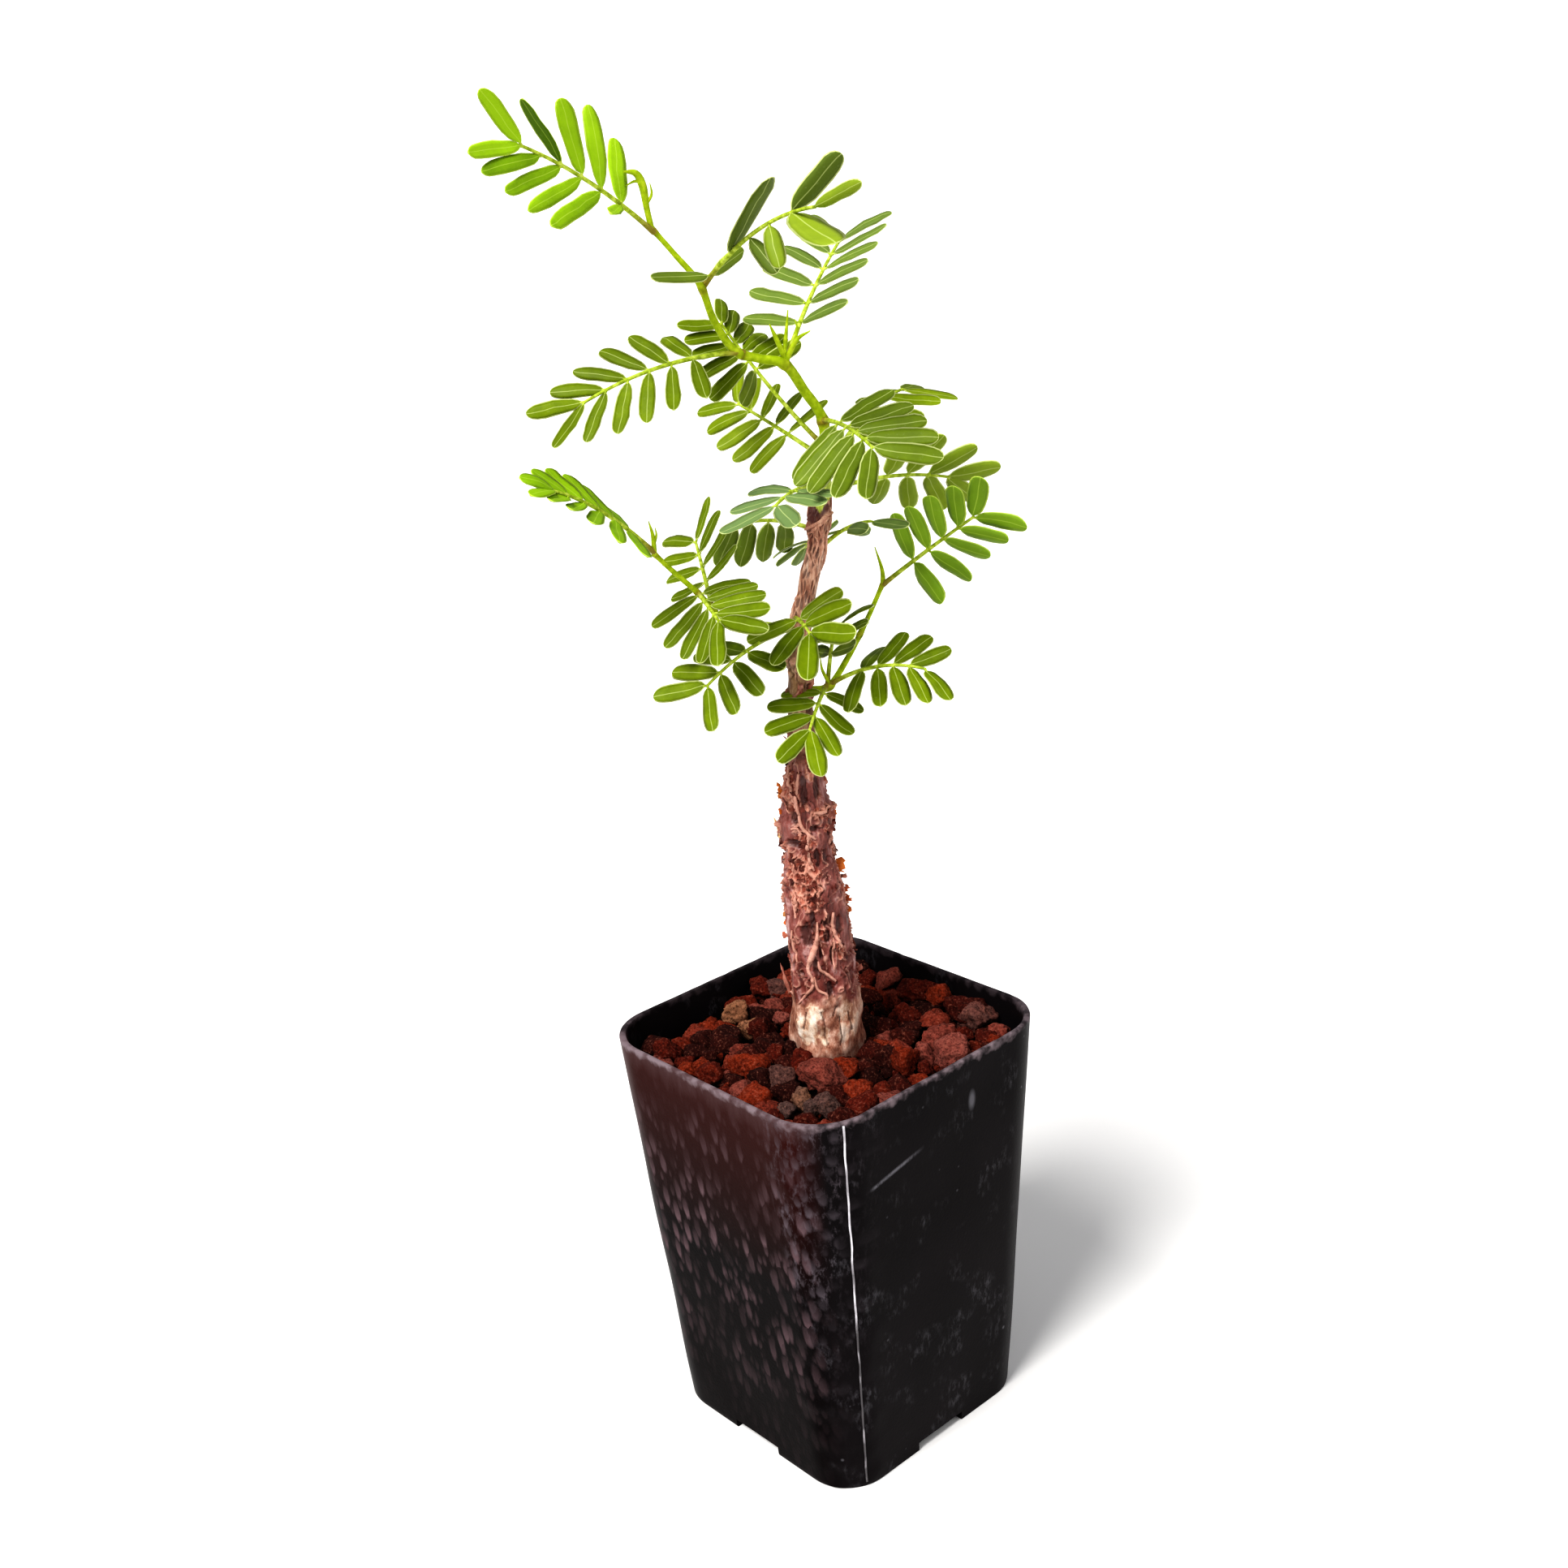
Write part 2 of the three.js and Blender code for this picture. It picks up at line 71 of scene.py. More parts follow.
def srgb(code):
    """A hex colour as the linear numbers that shaders take."""
    parts = [int(code[i:i + 2], 16) / 255 for i in (1, 3, 5)]
    return tuple(p / 12.92 if p <= 0.04045 else ((p + 0.055) / 1.055) ** 2.4 for p in parts) + (1.0,)


def feed(node, inputs):
    """Fills a node's inputs, by name or number, with numbers, hex colours, sockets or nodes' first outputs."""
    for key, value in dict(inputs).items():
        by_name = (s for s in node.inputs if s.name == key and s.enabled)
        socket = node.inputs[key] if isinstance(key, int) else next(by_name)
        if isinstance(value, bpy.types.Node):
            value = next(s for s in value.outputs if s.enabled)
        if isinstance(value, bpy.types.NodeSocket):
            node.id_data.links.new(value, socket)
        else:
            is_colour = isinstance(value, str) and value.startswith("#")
            socket.default_value = srgb(value) if is_colour else value


def add(tree, kind, inputs=(), stops=(), **settings):
    """Adds a node with its settings and links. stops are the places and colours of a colour ramp."""
    node = tree.nodes.new(kind)
    for name, value in settings.items():
        setattr(node, name, value)
    feed(node, inputs)
    for i, (place, colour) in enumerate(stops):
        ramp = node.color_ramp.elements
        stop = ramp[i] if i < 1 or (i < 2 and len(ramp) == 2) else ramp.new(place)
        stop.position, stop.color = place, srgb(colour)
    return node


# Soft daylight: a bright sky that lights the plant gently, and two wide suns, the stronger one from above the
# camera's left shoulder.
sky = bpy.data.worlds.new("studio")
sky.use_nodes = True
scene.world = sky
tree = sky.node_tree
seen = add(tree, "ShaderNodeBackground", {"Color": "#ffffff", "Strength": 1.0})
lit = add(tree, "ShaderNodeBackground", {"Color": "#f7f9ff", "Strength": 0.34})
path = add(tree, "ShaderNodeLightPath")
both = add(tree, "ShaderNodeMixShader", {0: path.outputs["Is Camera Ray"], 1: lit, 2: seen})
feed(tree.nodes["World Output"], {"Surface": both})
for name, aim, strength, width in (("key", (0.1, -0.75, 0.95), 3.2, 24), ("fill", (1.0, 0.25, 0.6), 0.7, 60)):
    sun = bpy.data.objects.new(name, bpy.data.lights.new(name, "SUN"))
    sun.data.energy, sun.data.angle = strength, math.radians(width)
    sun.matrix_world = Vector(aim).to_track_quat("Z", "Y").to_matrix().to_4x4()
    scene.collection.objects.link(sun)


def new_finish(name):
    """A new material, its tree and its shader, and the place on the piece that its patterns follow."""
    finish = bpy.data.materials.new(name)
    finish.use_nodes = True
    tree = finish.node_tree
    return finish, tree, tree.nodes["Principled BSDF"], add(tree, "ShaderNodeTexCoord").outputs["Object"]


def solid_of(name, points, faces, finish=None, bend=None):
    """A piece made of points in millimetres. Edges that turn more than bend degrees stay sharp."""
    mesh = bpy.data.meshes.new(name)
    mesh.from_pydata([Vector(p) * MM for p in points], [], faces)
    mesh.shade_smooth()
    if bend:
        mesh.set_sharp_from_angle(angle=math.radians(bend))
    if finish:
        mesh.materials.append(finish)
    piece = bpy.data.objects.new(name, mesh)
    scene.collection.objects.link(piece)
    return piece


# Matt pale paper under the pot.
paper, tree, shader, _ = new_finish("matt_backdrop_paper")
feed(shader, {"Base Color": "#eceae7", "Roughness": 0.95, "Specular IOR Level": 0.2})
half = 4000
floor = solid_of("floor", [(-half, -half, 0), (half, -half, 0), (half, half, 0), (-half, half, 0)],
                 [(0, 1, 2, 3)], paper)

# ---- Nursery pot -----------------------------------------------------------------------------------------
# A square pot for seedlings, moulded from thin black polypropylene: tapered, round-cornered, on four corner
# feet and a middle pad, with a drain hole in each notch. Watered with hard water and handled for a year.
POT_HEIGHT, POT_RIM, POT_BASE = 85, 64, 52.6
POT_CORNER = 11.4  # at the rim, narrowing with the taper
POT_WALL, POT_FLOOR, FOOT_HEIGHT = 1.1, 3.4, 2
FOOT_GAP, PAD, DRAIN = 12.6, 9, 3
# The rim's section from outside to inside: height and how far in from the outer wall.
RIM_SECTION = [(84.62, 0), (84.88, 0.1), (85, 0.35), (85, 0.75), (84.88, 1.0), (84.6, 1.1)]


def pot_ring(z, inset=0.0, worn=None, share=1.0):
    """The pot's outline at a height, drawn in by inset, as points. worn moves each point outwards."""
    corner_steps, flat_steps = 16, 24
    scale = share * (POT_BASE + (POT_RIM - POT_BASE) * z / POT_HEIGHT - 2 * inset) / POT_RIM
    straight = POT_RIM / 2 - POT_CORNER
    ring = []
    for corner in range(4):
        turn = Matrix.Rotation(corner * math.pi / 2, 2)
        for i in range(corner_steps):
            a = i / corner_steps * math.pi / 2
            out = Vector((math.cos(a), math.sin(a)))
            ring.append((turn @ (Vector((straight, straight)) + POT_CORNER * out), turn @ out))
        for i in range(flat_steps):
            along = straight * (1 - 2 * i / flat_steps)
            ring.append((turn @ Vector((along, POT_RIM / 2)), turn @ Vector((0, 1))))
    points = []
    for place, out in ring:
        spot = Vector((*(place * scale), z))
        points.append(spot + Vector((*out, 0)) * worn(spot) if worn else spot)
    return points


def loft(rings):
    """The points and faces of a closed skin over rings of points, with flat ends."""
    sides = len(rings[0])
    points = [p for ring in rings for p in ring]
    faces = [tuple(reversed(range(sides))), tuple(range(len(points) - sides, len(points)))]
    for r in range(len(rings) - 1):
        for s in range(sides):
            a, b = r * sides + s, r * sides + (s + 1) % sides
            faces.append((a, b, b + sides, a + sides))
    return points, faces


def wall_wear(spot):
    """How far the outer wall stands off its true plane: slow waves, and creases round the front corner."""
    waves = 0.22 * noise.noise(spot / 19)
    corner_line = 57.5 * (0.82 + 0.18 * spot.z / POT_HEIGHT)  # x - y where the front corner is
    creased = math.exp(-((spot.x - spot.y - corner_line) / 6) ** 2)
    creases = 0.5 - abs(noise.noise(Vector((spot.x / 1.6, spot.y / 1.6, spot.z / 3.4))))
    dents = noise.noise(spot / 4.5)
    return waves + creased * (0.32 * creases * abs(dents) + 0.22 * dents)


rings = [pot_ring(0, 0.4), pot_ring(0.12, 0.12)]
rings += [pot_ring(z, 0, wall_wear) for z in np.arange(0.5, 84.6, 0.8)]
for z, inset in RIM_SECTION:
    ring = pot_ring(z, inset, lambda spot: wall_wear(spot) * (1 - inset / POT_WALL))
    # It is nicked where it has been gripped.
    nick = [0.35 * max(0, noise.noise(p / 1.3) - 0.25) + 0.1 * abs(noise.noise(p / 12)) for p in ring]
    rings.append([p - Vector((0, 0, n)) for p, n in zip(ring, nick)])
rings += [pot_ring(z, POT_WALL) for z in (80, 60, 40, 20, 8, 5.4)]
rings += [pot_ring(4.2, POT_WALL + 0.5), pot_ring(3.6, POT_WALL + 1.3), pot_ring(POT_FLOOR, POT_WALL + 2.2)]


def maths(tree, operation, *values):
    """One step of arithmetic on numbers or sockets."""
    return add(tree, "ShaderNodeMath", enumerate(values), operation=operation)


def span(tree, value, start, end, low=0.0, high=1.0):
    """A value brought from the range start to end into the range low to high, and held inside it."""
    return add(tree, "ShaderNodeMapRange", {
        "Value": value, "From Min": start, "From Max": end, "To Min": low, "To Max": high})


def times(tree, *masks):
    """The product of several masks."""
    return reduce(lambda product, mask: maths(tree, "MULTIPLY", product, mask), masks)


def clouds(tree, where, scale, detail, roughness=0.5):
    """Cloudy noise, stretched if its scale is three numbers."""
    if isinstance(scale, tuple):
        where, scale = add(tree, "ShaderNodeMapping", {"Vector": where, "Scale": scale}), 1.0
    return add(tree, "ShaderNodeTexNoise", {
        "Vector": where, "Scale": scale, "Detail": detail, "Roughness": roughness})


def blend(tree, mask, under, over):
    """One colour laid over another where the mask says."""
    return add(tree, "ShaderNodeMix", {0: mask, "A": under, "B": over}, data_type="RGBA")


def shades(tree, value, stops):
    """The colour that a value picks from a row of places and colours."""
    return add(tree, "ShaderNodeValToRGB", {0: value}, stops)


def dried_drops(tree, where, wide, long, lean, amount):
    """Dried drops of water, wide and long in metres and leaning by some degrees, palest at their lower end."""
    laid = add(tree, "ShaderNodeMapping", {
        "Vector": where, "Rotation": (0, math.radians(-lean), 0), "Scale": (wide, 0.03, long)},
        vector_type="TEXTURE")
    ripple = clouds(tree, laid, 2.2, 3).outputs["Color"]
    bent = add(tree, "ShaderNodeMix", {0: 0.3, "A": laid, "B": ripple}, data_type="VECTOR")
    cells = add(tree, "ShaderNodeTexVoronoi", {"Vector": bent, "Scale": 1.0})
    body = span(tree, cells.outputs["Distance"], 0.5, 0.32)
    kept = span(tree, cells.outputs["Color"], 1 - amount, 1.3 - amount)
    under = add(tree, "ShaderNodeVectorMath", {0: cells.outputs["Position"], 1: bent}, operation="SUBTRACT")
    below = add(tree, "ShaderNodeSeparateXYZ", {0: under}).outputs["Z"]
    return times(tree, body, kept, span(tree, below, -0.4, 0.45, 0.12))


# Polypropylene, moulded and satin, nearly black. The eye sees grey handling scuffs on the rim and the front
# corner, and dried drops of hard water that ran down the face on the left. Places are in metres.
plastic, tree, shader, where = new_finish("moulded_polypropylene_black")
x, y, z = add(tree, "ShaderNodeSeparateXYZ", {0: where}).outputs
to_left = maths(tree, "MULTIPLY", maths(tree, "ADD", y, maths(tree, "ABSOLUTE", x)), -1)
left_face = span(tree, to_left, -0.001, 0.007)
# Two sizes of drops, crowded in places, fewer right under the rim and low down.
drops = maths(tree, "MAXIMUM", dried_drops(tree, where, 0.0016, 0.0044, 5, 0.8),
              times(tree, dried_drops(tree, where, 0.0011, 0.0024, 3, 0.65), 0.5))
crowded = span(tree, clouds(tree, where, 80, 2), 0.34, 0.56, 0.2)
stain = times(tree, drops, crowded, span(tree, z, 0.082, 0.064, 0.15), span(tree, z, 0.01, 0.04, 0.1), left_face)
# A haze of lime under the rim, deepest at the far left.
streak = clouds(tree, where, (520, 520, 120), 4)
far_left = span(tree, x, -0.022, -0.03)
haze_fall = span(tree, maths(tree, "MULTIPLY_ADD", streak, 0.012, z), 0.066, 0.09, 0, 0.85)
under_rim = span(tree, maths(tree, "MULTIPLY_ADD", streak, 0.006, z), 0.083, 0.088, 0, 0.22)
haze = times(tree, left_face, maths(tree, "MAXIMUM", times(tree, far_left, haze_fall), under_rim))
# Scuffs, creases and grey scale on the front corner.
to_corner = maths(tree, "SUBTRACT", x, y)
off_seam = span(tree, maths(tree, "MULTIPLY_ADD", y, -2.35, x), 0.0885, 0.0895, 0.3)
scuffs = clouds(tree, where, (900, 900, 420), 8, 0.7)
patches = clouds(tree, where, 130, 2)
flecked = maths(tree, "MAXIMUM", span(tree, scuffs, 0.5, 0.76),
                times(tree, dried_drops(tree, where, 0.0012, 0.0026, 0, 0.8), 0.7))
scuff = times(tree, flecked, span(tree, to_corner, 0.0465, 0.05), off_seam,
              span(tree, patches, 0.38, 0.62, 0.3), span(tree, z, 0.02, 0.05, 0.4))
# One long scratch on the face to the right.
slope = maths(tree, "MULTIPLY_ADD", y, -0.2, z)
off_scratch = maths(tree, "ABSOLUTE", maths(tree, "ADD", slope, -0.0722))
scratch = times(tree, span(tree, off_scratch, 0.0006, 0.0001), span(tree, scuffs, 0.35, 0.55, 0.2),
                span(tree, y, -0.0195, -0.018), span(tree, y, -0.005, -0.01), span(tree, x, 0.024, 0.025))
# A run drop there, and specks and faint smears on every face but the left.
in_drop = add(tree, "ShaderNodeMapping", {
    "Vector": where, "Location": (0, 0.008, 0.0754), "Scale": (9, 0.0011, 0.0024)}, vector_type="TEXTURE")
off_drop = add(tree, "ShaderNodeVectorMath", {0: in_drop}, operation="LENGTH").outputs["Value"]
specks = add(tree, "ShaderNodeTexVoronoi", {"Vector": where, "Scale": 210})
speck = times(tree, span(tree, specks.outputs["Distance"], 0.1, 0.05),
              span(tree, specks.outputs["Color"], 0.55, 0.8))
smear = times(tree, span(tree, scuffs, 0.48, 0.75, 0, 0.4), span(tree, patches, 0.55, 0.7))
faint = maths(tree, "MAXIMUM", span(tree, off_drop, 1.1, 0.4, 0, 0.6),
              maths(tree, "MAXIMUM", times(tree, speck, 0.5), smear))
marks = maths(tree, "MAXIMUM", times(tree, span(tree, left_face, 0, 1, 1, 0), faint), times(tree, scratch, 0.8))
# The worn rim is grey, with a ragged lower border.
ragged = clouds(tree, where, 420, 4)
rim = times(tree, span(tree, maths(tree, "MULTIPLY_ADD", ragged, 0.0036, z), 0.0855, 0.0868, 0, 0.85),
            span(tree, ragged, 0.38, 0.6, 0.35), span(tree, to_corner, -0.012, 0.012, 0.2))
clean = blend(tree, clouds(tree, where, 60, 3), "#0b090a", "#1e191b")
# The left face is painted reddish brown, more so towards the rim: a painted reflection, not the plastic's colour.
reddish_reflection = blend(tree, span(tree, z, 0.045, 0.082), "#050001", "#340f0b")
shade = blend(tree, left_face, clean, reddish_reflection)
for mask, over in ((haze, "#7d6a6c"), (stain, "#6c585c"), (scuff, "#6a6167"), (marks, "#77757a"),
                   (rim, "#84767a")):
    shade = blend(tree, mask, shade, over)
grain = clouds(tree, where, 1600, 3)
feed(shader, {
    "Base Color": shade, "Roughness": span(tree, maths(tree, "MAXIMUM", stain, haze), 0, 1, 0.36, 0.62),
    "IOR": 1.49, "Specular IOR Level": 0.05,
    "Normal": add(tree, "ShaderNodeBump", {"Height": grain, "Strength": 0.25, "Distance": 0.0001})})

pot = solid_of("nursery_pot", *loft(rings), plastic)
# The notches between the feet and the drain holes are cut from the moulding.
inner, outer = PAD / 2, POT_BASE / 2 + 1
middle = (inner + outer) / 2
bottom = -1  # the cutters start below the pot
for shape in ("notches", "drains"):
    points, faces = [], []
    for quarter in range(4):
        turn = Matrix.Rotation(quarter * math.pi / 2, 3, "Z")
        if shape == "notches":
            section = [(inner, -FOOT_GAP / 2), (outer, -FOOT_GAP / 2),
                       (outer, FOOT_GAP / 2), (inner, FOOT_GAP / 2)]
            top = FOOT_HEIGHT
        else:
            turns = [2 * math.pi * i / 32 for i in range(32)]
            section = [(middle + DRAIN * math.cos(a), DRAIN * math.sin(a)) for a in turns]
            top = POT_FLOOR + 1
        more, sides = loft([[turn @ Vector((*p, h)) for p in section] for h in (bottom, top)])
        faces += [tuple(i + len(points) for i in side) for side in sides]
        points += more
    cutter = solid_of(shape, points, faces, plastic)
    cut = pot.modifiers.new(shape, "BOOLEAN")
    cut.object, cut.operation, cut.use_self = cutter, "DIFFERENCE", True
    graph = bpy.context.evaluated_depsgraph_get()
    mesh = bpy.data.meshes.new_from_object(pot.evaluated_get(graph))
    pot.modifiers.clear()
    pot.data = mesh
    bpy.data.objects.remove(cutter)
pot.data.shade_smooth()
pot.data.set_sharp_from_angle(angle=math.radians(35))
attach(pot, "root")
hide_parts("pot")

# The mould's parting line: a thin raised bead down the front corner, painted pale grey as its highlight.
arc = math.radians(22.5)  # its place round the corner
outward, side = Vector((math.cos(arc), -math.sin(arc), 0)), Vector((math.sin(arc), math.cos(arc), 0))
bead_width, bead_rise = 0.21, 0.12
straight = POT_RIM / 2 - POT_CORNER
rings = []
for z_mm in np.arange(84.5, 1.0, -0.4):
    scale = (POT_BASE + (POT_RIM - POT_BASE) * z_mm / POT_HEIGHT) / POT_RIM
    x, y = POT_CORNER * outward.x + straight, POT_CORNER * outward.y - straight
    spot = Vector((x * scale, y * scale, z_mm))
    spot += outward * (wall_wear(spot) + bead_rise)
    broad = bead_width + 0.05 * noise.noise(spot / 1.7)
    shift = side * 0.12 * noise.noise(spot / 5 + Vector((9, 0, 0)))
    rings.append([spot + shift + (side * math.cos(a) + outward * math.sin(a)) * broad
                  for a in (2 * math.pi * i / 8 for i in range(8))])
bead, tree, shader, where = new_finish("rubbed_polypropylene_seam")
height = add(tree, "ShaderNodeSeparateXYZ", {0: where}).outputs["Z"]
# Painted highlight: grey broken by noise, fading towards the bottom.
rubbed = maths(tree, "ADD", clouds(tree, where, 160, 3), span(tree, height, 0.03, 0.055, -0.22, 0.02))
grey = shades(tree, rubbed, [(0.3, "#4a4648"), (0.45, "#a29da1"), (0.6, "#dcd8dc")])
feed(shader, {"Base Color": grey, "Roughness": 0.28, "IOR": 1.49})
seam = solid_of("mould_seam", *loft(rings), bead)
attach(seam, "root")

# ---- Lava gravel -----------------------------------------------------------------------------------------
# Crushed lava rock, 3 to 9 mm, poured in loose: rust red and orange lumps, some maroon, a few pink, grey and
# tan ones. Each is rough and full of pores, and the gaps between them are deep and dark.
SURFACE = 79  # height of the gravel
# The stones that show: x, y, height, width, thickness and tone, which picks the colour.
SHOWN_STONES = [
    (-24.8, -2.1, 79.5, 5.5, 4.5, 0.95), (-27.3, 8.1, 80, 5.8, 4.2, 0.3), (-25.5, 10, 79.5, 4.6, 4.1, 0.7),
    (-15.8, 2.5, 79.5, 3, 2.6, 0.6), (-14.4, -3.8, 79.5, 4.4, 3.9, 0.25), (-17.2, -4.7, 79.5, 3.6, 3.4, 0.93),
    (-17.5, -11.2, 79.5, 6.4, 3.2, 0.12), (-11.1, -12.7, 79.5, 4.2, 3.3, 0.52),
    (-22, -22.4, 79.5, 6.2, 4, 0.3), (-17.7, -18.9, 79.5, 4.3, 3, 0.12), (-13.3, -23.6, 79.5, 3.8, 2.6, 0.42),
    (-7.9, -22.3, 79.5, 5, 3.5, 0.33), (-4.6, -15.8, 79.5, 6.1, 5.4, 0.42), (-8.9, -16.7, 79.5, 3.4, 2.8, 0.48),
    (-4.6, -9.3, 79.5, 4, 3.8, 0.3), (-3.1, -6.9, 80, 3.3, 3, 0.12), (3.3, -14.7, 79.5, 5.1, 4.2, 0.72),
    (1.9, -6.5, 80, 5.4, 3.8, 0.3), (9.4, -9.4, 79.8, 7.4, 4.3, 0.57), (9.9, -3.9, 79.8, 4.7, 3.2, 0.42),
    (4.9, -22.6, 79.5, 5.5, 4.4, 0.42), (12.4, -21.8, 79.5, 3.2, 2.8, 0.82), (12.3, -17.9, 79.5, 4, 3.4, 0.88),
    (15.8, -18.6, 79.3, 3, 2.9, 0.82), (17.6, -16.2, 79.7, 4.2, 3.5, 0.8), (19.7, -22.6, 79.5, 4.4, 2.6, 0.25),
    (17.8, -7.9, 79.5, 4.5, 3.5, 0.42), (22.1, -12.2, 79.5, 5.8, 3.3, 0.3), (16.9, 5, 79.9, 5.4, 5.6, 0.38),
    (22.2, 5.5, 79.5, 3.6, 2.6, 0.3), (21.8, 13.1, 79.5, 7.2, 4.2, 0.6), (15.1, 16.5, 79.5, 5.7, 3.4, 0.55),
    (16.3, 27, 79.8, 6, 4.8, 0.68), (22.8, 26.2, 79.5, 3.4, 2.8, 0.55), (9.7, 21, 79.5, 5.1, 3.3, 0.48),
    (3.7, 11.7, 79.5, 4.4, 3.6, 0.18), (4.5, 18.8, 79.5, 5.4, 4.4, 0.3), (-3.5, 23.5, 79.5, 3, 3, 0.48),
    (-0.8, 26.9, 81, 6, 4.5, 0.3), (5.9, 27.5, 81, 4.6, 4, 0.42), (13.3, 27, 81.4, 6.3, 3.6, 0.22),
    (-9.4, 27.5, 80.8, 5.1, 3.2, 0.55), (-13.9, 25.9, 79.5, 4.8, 3.8, 0.3), (-8.2, 19.8, 79.5, 4.4, 4, 0.2),
    (9, 3.4, 79.5, 4.4, 3, 0.22), (6, -2, 79.4, 5, 3, 0.15), (18.1, 20.6, 79.3, 3, 2.6, 0.3),
    (9.8, 12.8, 79.3, 4.4, 3.1, 0.2), (-26.6, -21.5, 79.2, 5.6, 3.4, 0.15), (12.1, -25.4, 79.2, 3, 2.4, 0.25),
    (15.6, -2.4, 78.6, 4.2, 2.8, 0.1), (-14.9, -17.8, 79, 3.2, 2.6, 0.14), (-17.1, -22.4, 79, 3.2, 2.6, 0.3),
]

# What a start mesh's points carry for the geometry trees, where it isn't one number.
POINT_KINDS = {"shape": "INT", "turn": "FLOAT_VECTOR", "size": "FLOAT_VECTOR"}


def mark(mesh, **rows):
    """Writes rows of values on a mesh's points, by name."""
    for key, row in rows.items():
        kind = POINT_KINDS.get(key, "FLOAT")
        layer = mesh.attributes.new(key, kind, "POINT")
        layer.data.foreach_set("vector" if kind == "FLOAT_VECTOR" else "value", np.ravel(row).tolist())


def points_of(name, points, **rows):
    """A mesh of loose points in millimetres that carry values by name."""
    mesh = bpy.data.meshes.new(name)
    mesh.from_pydata([Vector(p) * MM for p in points], [], [])
    mark(mesh, **rows)
    return mesh


def new_kit(name, **takes):
    """A new geometry tree, and the node that hands it a geometry and what else it takes, by name and kind."""
    kit = bpy.data.node_groups.new(name, "GeometryNodeTree")
    for title, kind in {"Geometry": "Geometry", **takes}.items():
        kit.interface.new_socket(title, in_out="INPUT", socket_type="NodeSocket" + kind)
    kit.interface.new_socket("Geometry", in_out="OUTPUT", socket_type="NodeSocketGeometry")
    return kit, add(kit, "NodeGroupInput")


def grown(name, start, kit, **given):
    """Runs a geometry tree on a start mesh, and returns the result as a plain piece."""
    piece = bpy.data.objects.new(name, start)
    scene.collection.objects.link(piece)
    growth = piece.modifiers.new("growth", "NODES")
    growth.node_group = kit
    for item in kit.interface.items_tree:
        if item.item_type == "SOCKET" and item.in_out == "INPUT" and item.name in given:
            growth[item.identifier] = given[item.name]
    graph = bpy.context.evaluated_depsgraph_get()
    mesh = bpy.data.meshes.new_from_object(piece.evaluated_get(graph))
    piece.modifiers.remove(growth)
    piece.data = mesh
    return piece


def carried(kit, key):
    """The value that the points in a geometry tree carry by this name."""
    return add(kit, "GeometryNodeInputNamedAttribute", {"Name": key}, data_type=POINT_KINDS.get(key, "FLOAT"))


def shapes_on(kit, points, shapes):
    """Sets one of the shapes on every point, turned and sized by the point's values."""
    pool = add(kit, "GeometryNodeCollectionInfo", {
        "Collection": shapes, "Separate Children": True, "Reset Children": True})
    set_out = add(kit, "GeometryNodeInstanceOnPoints", {
        "Points": points, "Instance": pool, "Pick Instance": True, "Instance Index": carried(kit, "shape"),
        "Rotation": add(kit, "FunctionNodeEulerToRotation", {0: carried(kit, "turn")}),
        "Scale": carried(kit, "size")})
    return add(kit, "GeometryNodeRealizeInstances", {"Geometry": set_out})


def coated(kit, geometry, finish):
    """Gives what a geometry tree has made its material."""
    return add(kit, "GeometryNodeSetMaterial", {"Geometry": geometry, "Material": finish})


def strewn(name):
    """A geometry tree that strews shapes over the points of its start mesh."""
    kit, given = new_kit(name, Shapes="Collection", Finish="Material")
    loose = shapes_on(kit, given.outputs["Geometry"], given.outputs["Shapes"])
    add(kit, "NodeGroupOutput", {0: coated(kit, loose, given.outputs["Finish"])})
    return kit


def pool_of(name, shapes):
    """A collection of shapes for a geometry tree to pick from, taken out of the scene."""
    pool = bpy.data.collections.new(name)
    for shape in shapes:
        pool.objects.link(shape)
        scene.collection.objects.unlink(shape)
    return pool


def lump(name, seed, fineness):
    """A broken stone about one unit across: a ball cut by flat breaks, then roughened and pitted, with painted
    shade in its pits and low places.
    """
    chance = random.Random(seed)
    breaks = []
    for _ in range(9):
        facing = Vector([chance.gauss(0, 1) for _ in range(3)]).normalized()
        breaks.append((facing, chance.uniform(0.3, 0.47)))
    kit, _ = new_kit(name)
    add(kit, "NodeGroupOutput", {
        0: add(kit, "GeometryNodeMeshIcoSphere", {"Radius": 1.0, "Subdivisions": fineness})})
    stone = grown(name, bpy.data.meshes.new(name), kit)
    pits = []
    away = Vector((seed * 3.7, seed * 1.3, 0))
    for vertex in stone.data.vertices:
        ray = vertex.co.normalized()
        reach = min([d / ray.dot(facing) for facing, d in breaks if ray.dot(facing) > 0.05] + [0.6])
        rough = noise.fractal(ray * 2.3 + away, 0.6, 2.1, 6)
        cell = noise.voronoi(ray * 3.6 + away)[0]
        hole = max(0.0, 0.26 - cell[0]) * (1 if noise.noise(ray * 1.7 + away) > 0 else 0.1)
        small_hole = max(0.0, 0.28 - noise.voronoi(ray * 9 + away)[0][0])
        vertex.co = ray * (reach + 0.075 * rough - 0.36 * hole - 0.12 * small_hole)
        pits.append(min(1.0, 2.6 * hole + 1.3 * small_hole + max(0.0, -0.5 * rough)))
    mark(stone.data, pit=pits)
    stone.data.shade_smooth()
    return stone


def painted(tree, key):
    """The value that a piece's points carry by this name."""
    return add(tree, "ShaderNodeAttribute", attribute_name=key).outputs["Fac"]


def varied(tree, tone, pattern, amount):
    """A tone, moved up and down by a pattern."""
    return maths(tree, "MULTIPLY_ADD", maths(tree, "ADD", pattern, -0.5), amount, tone)
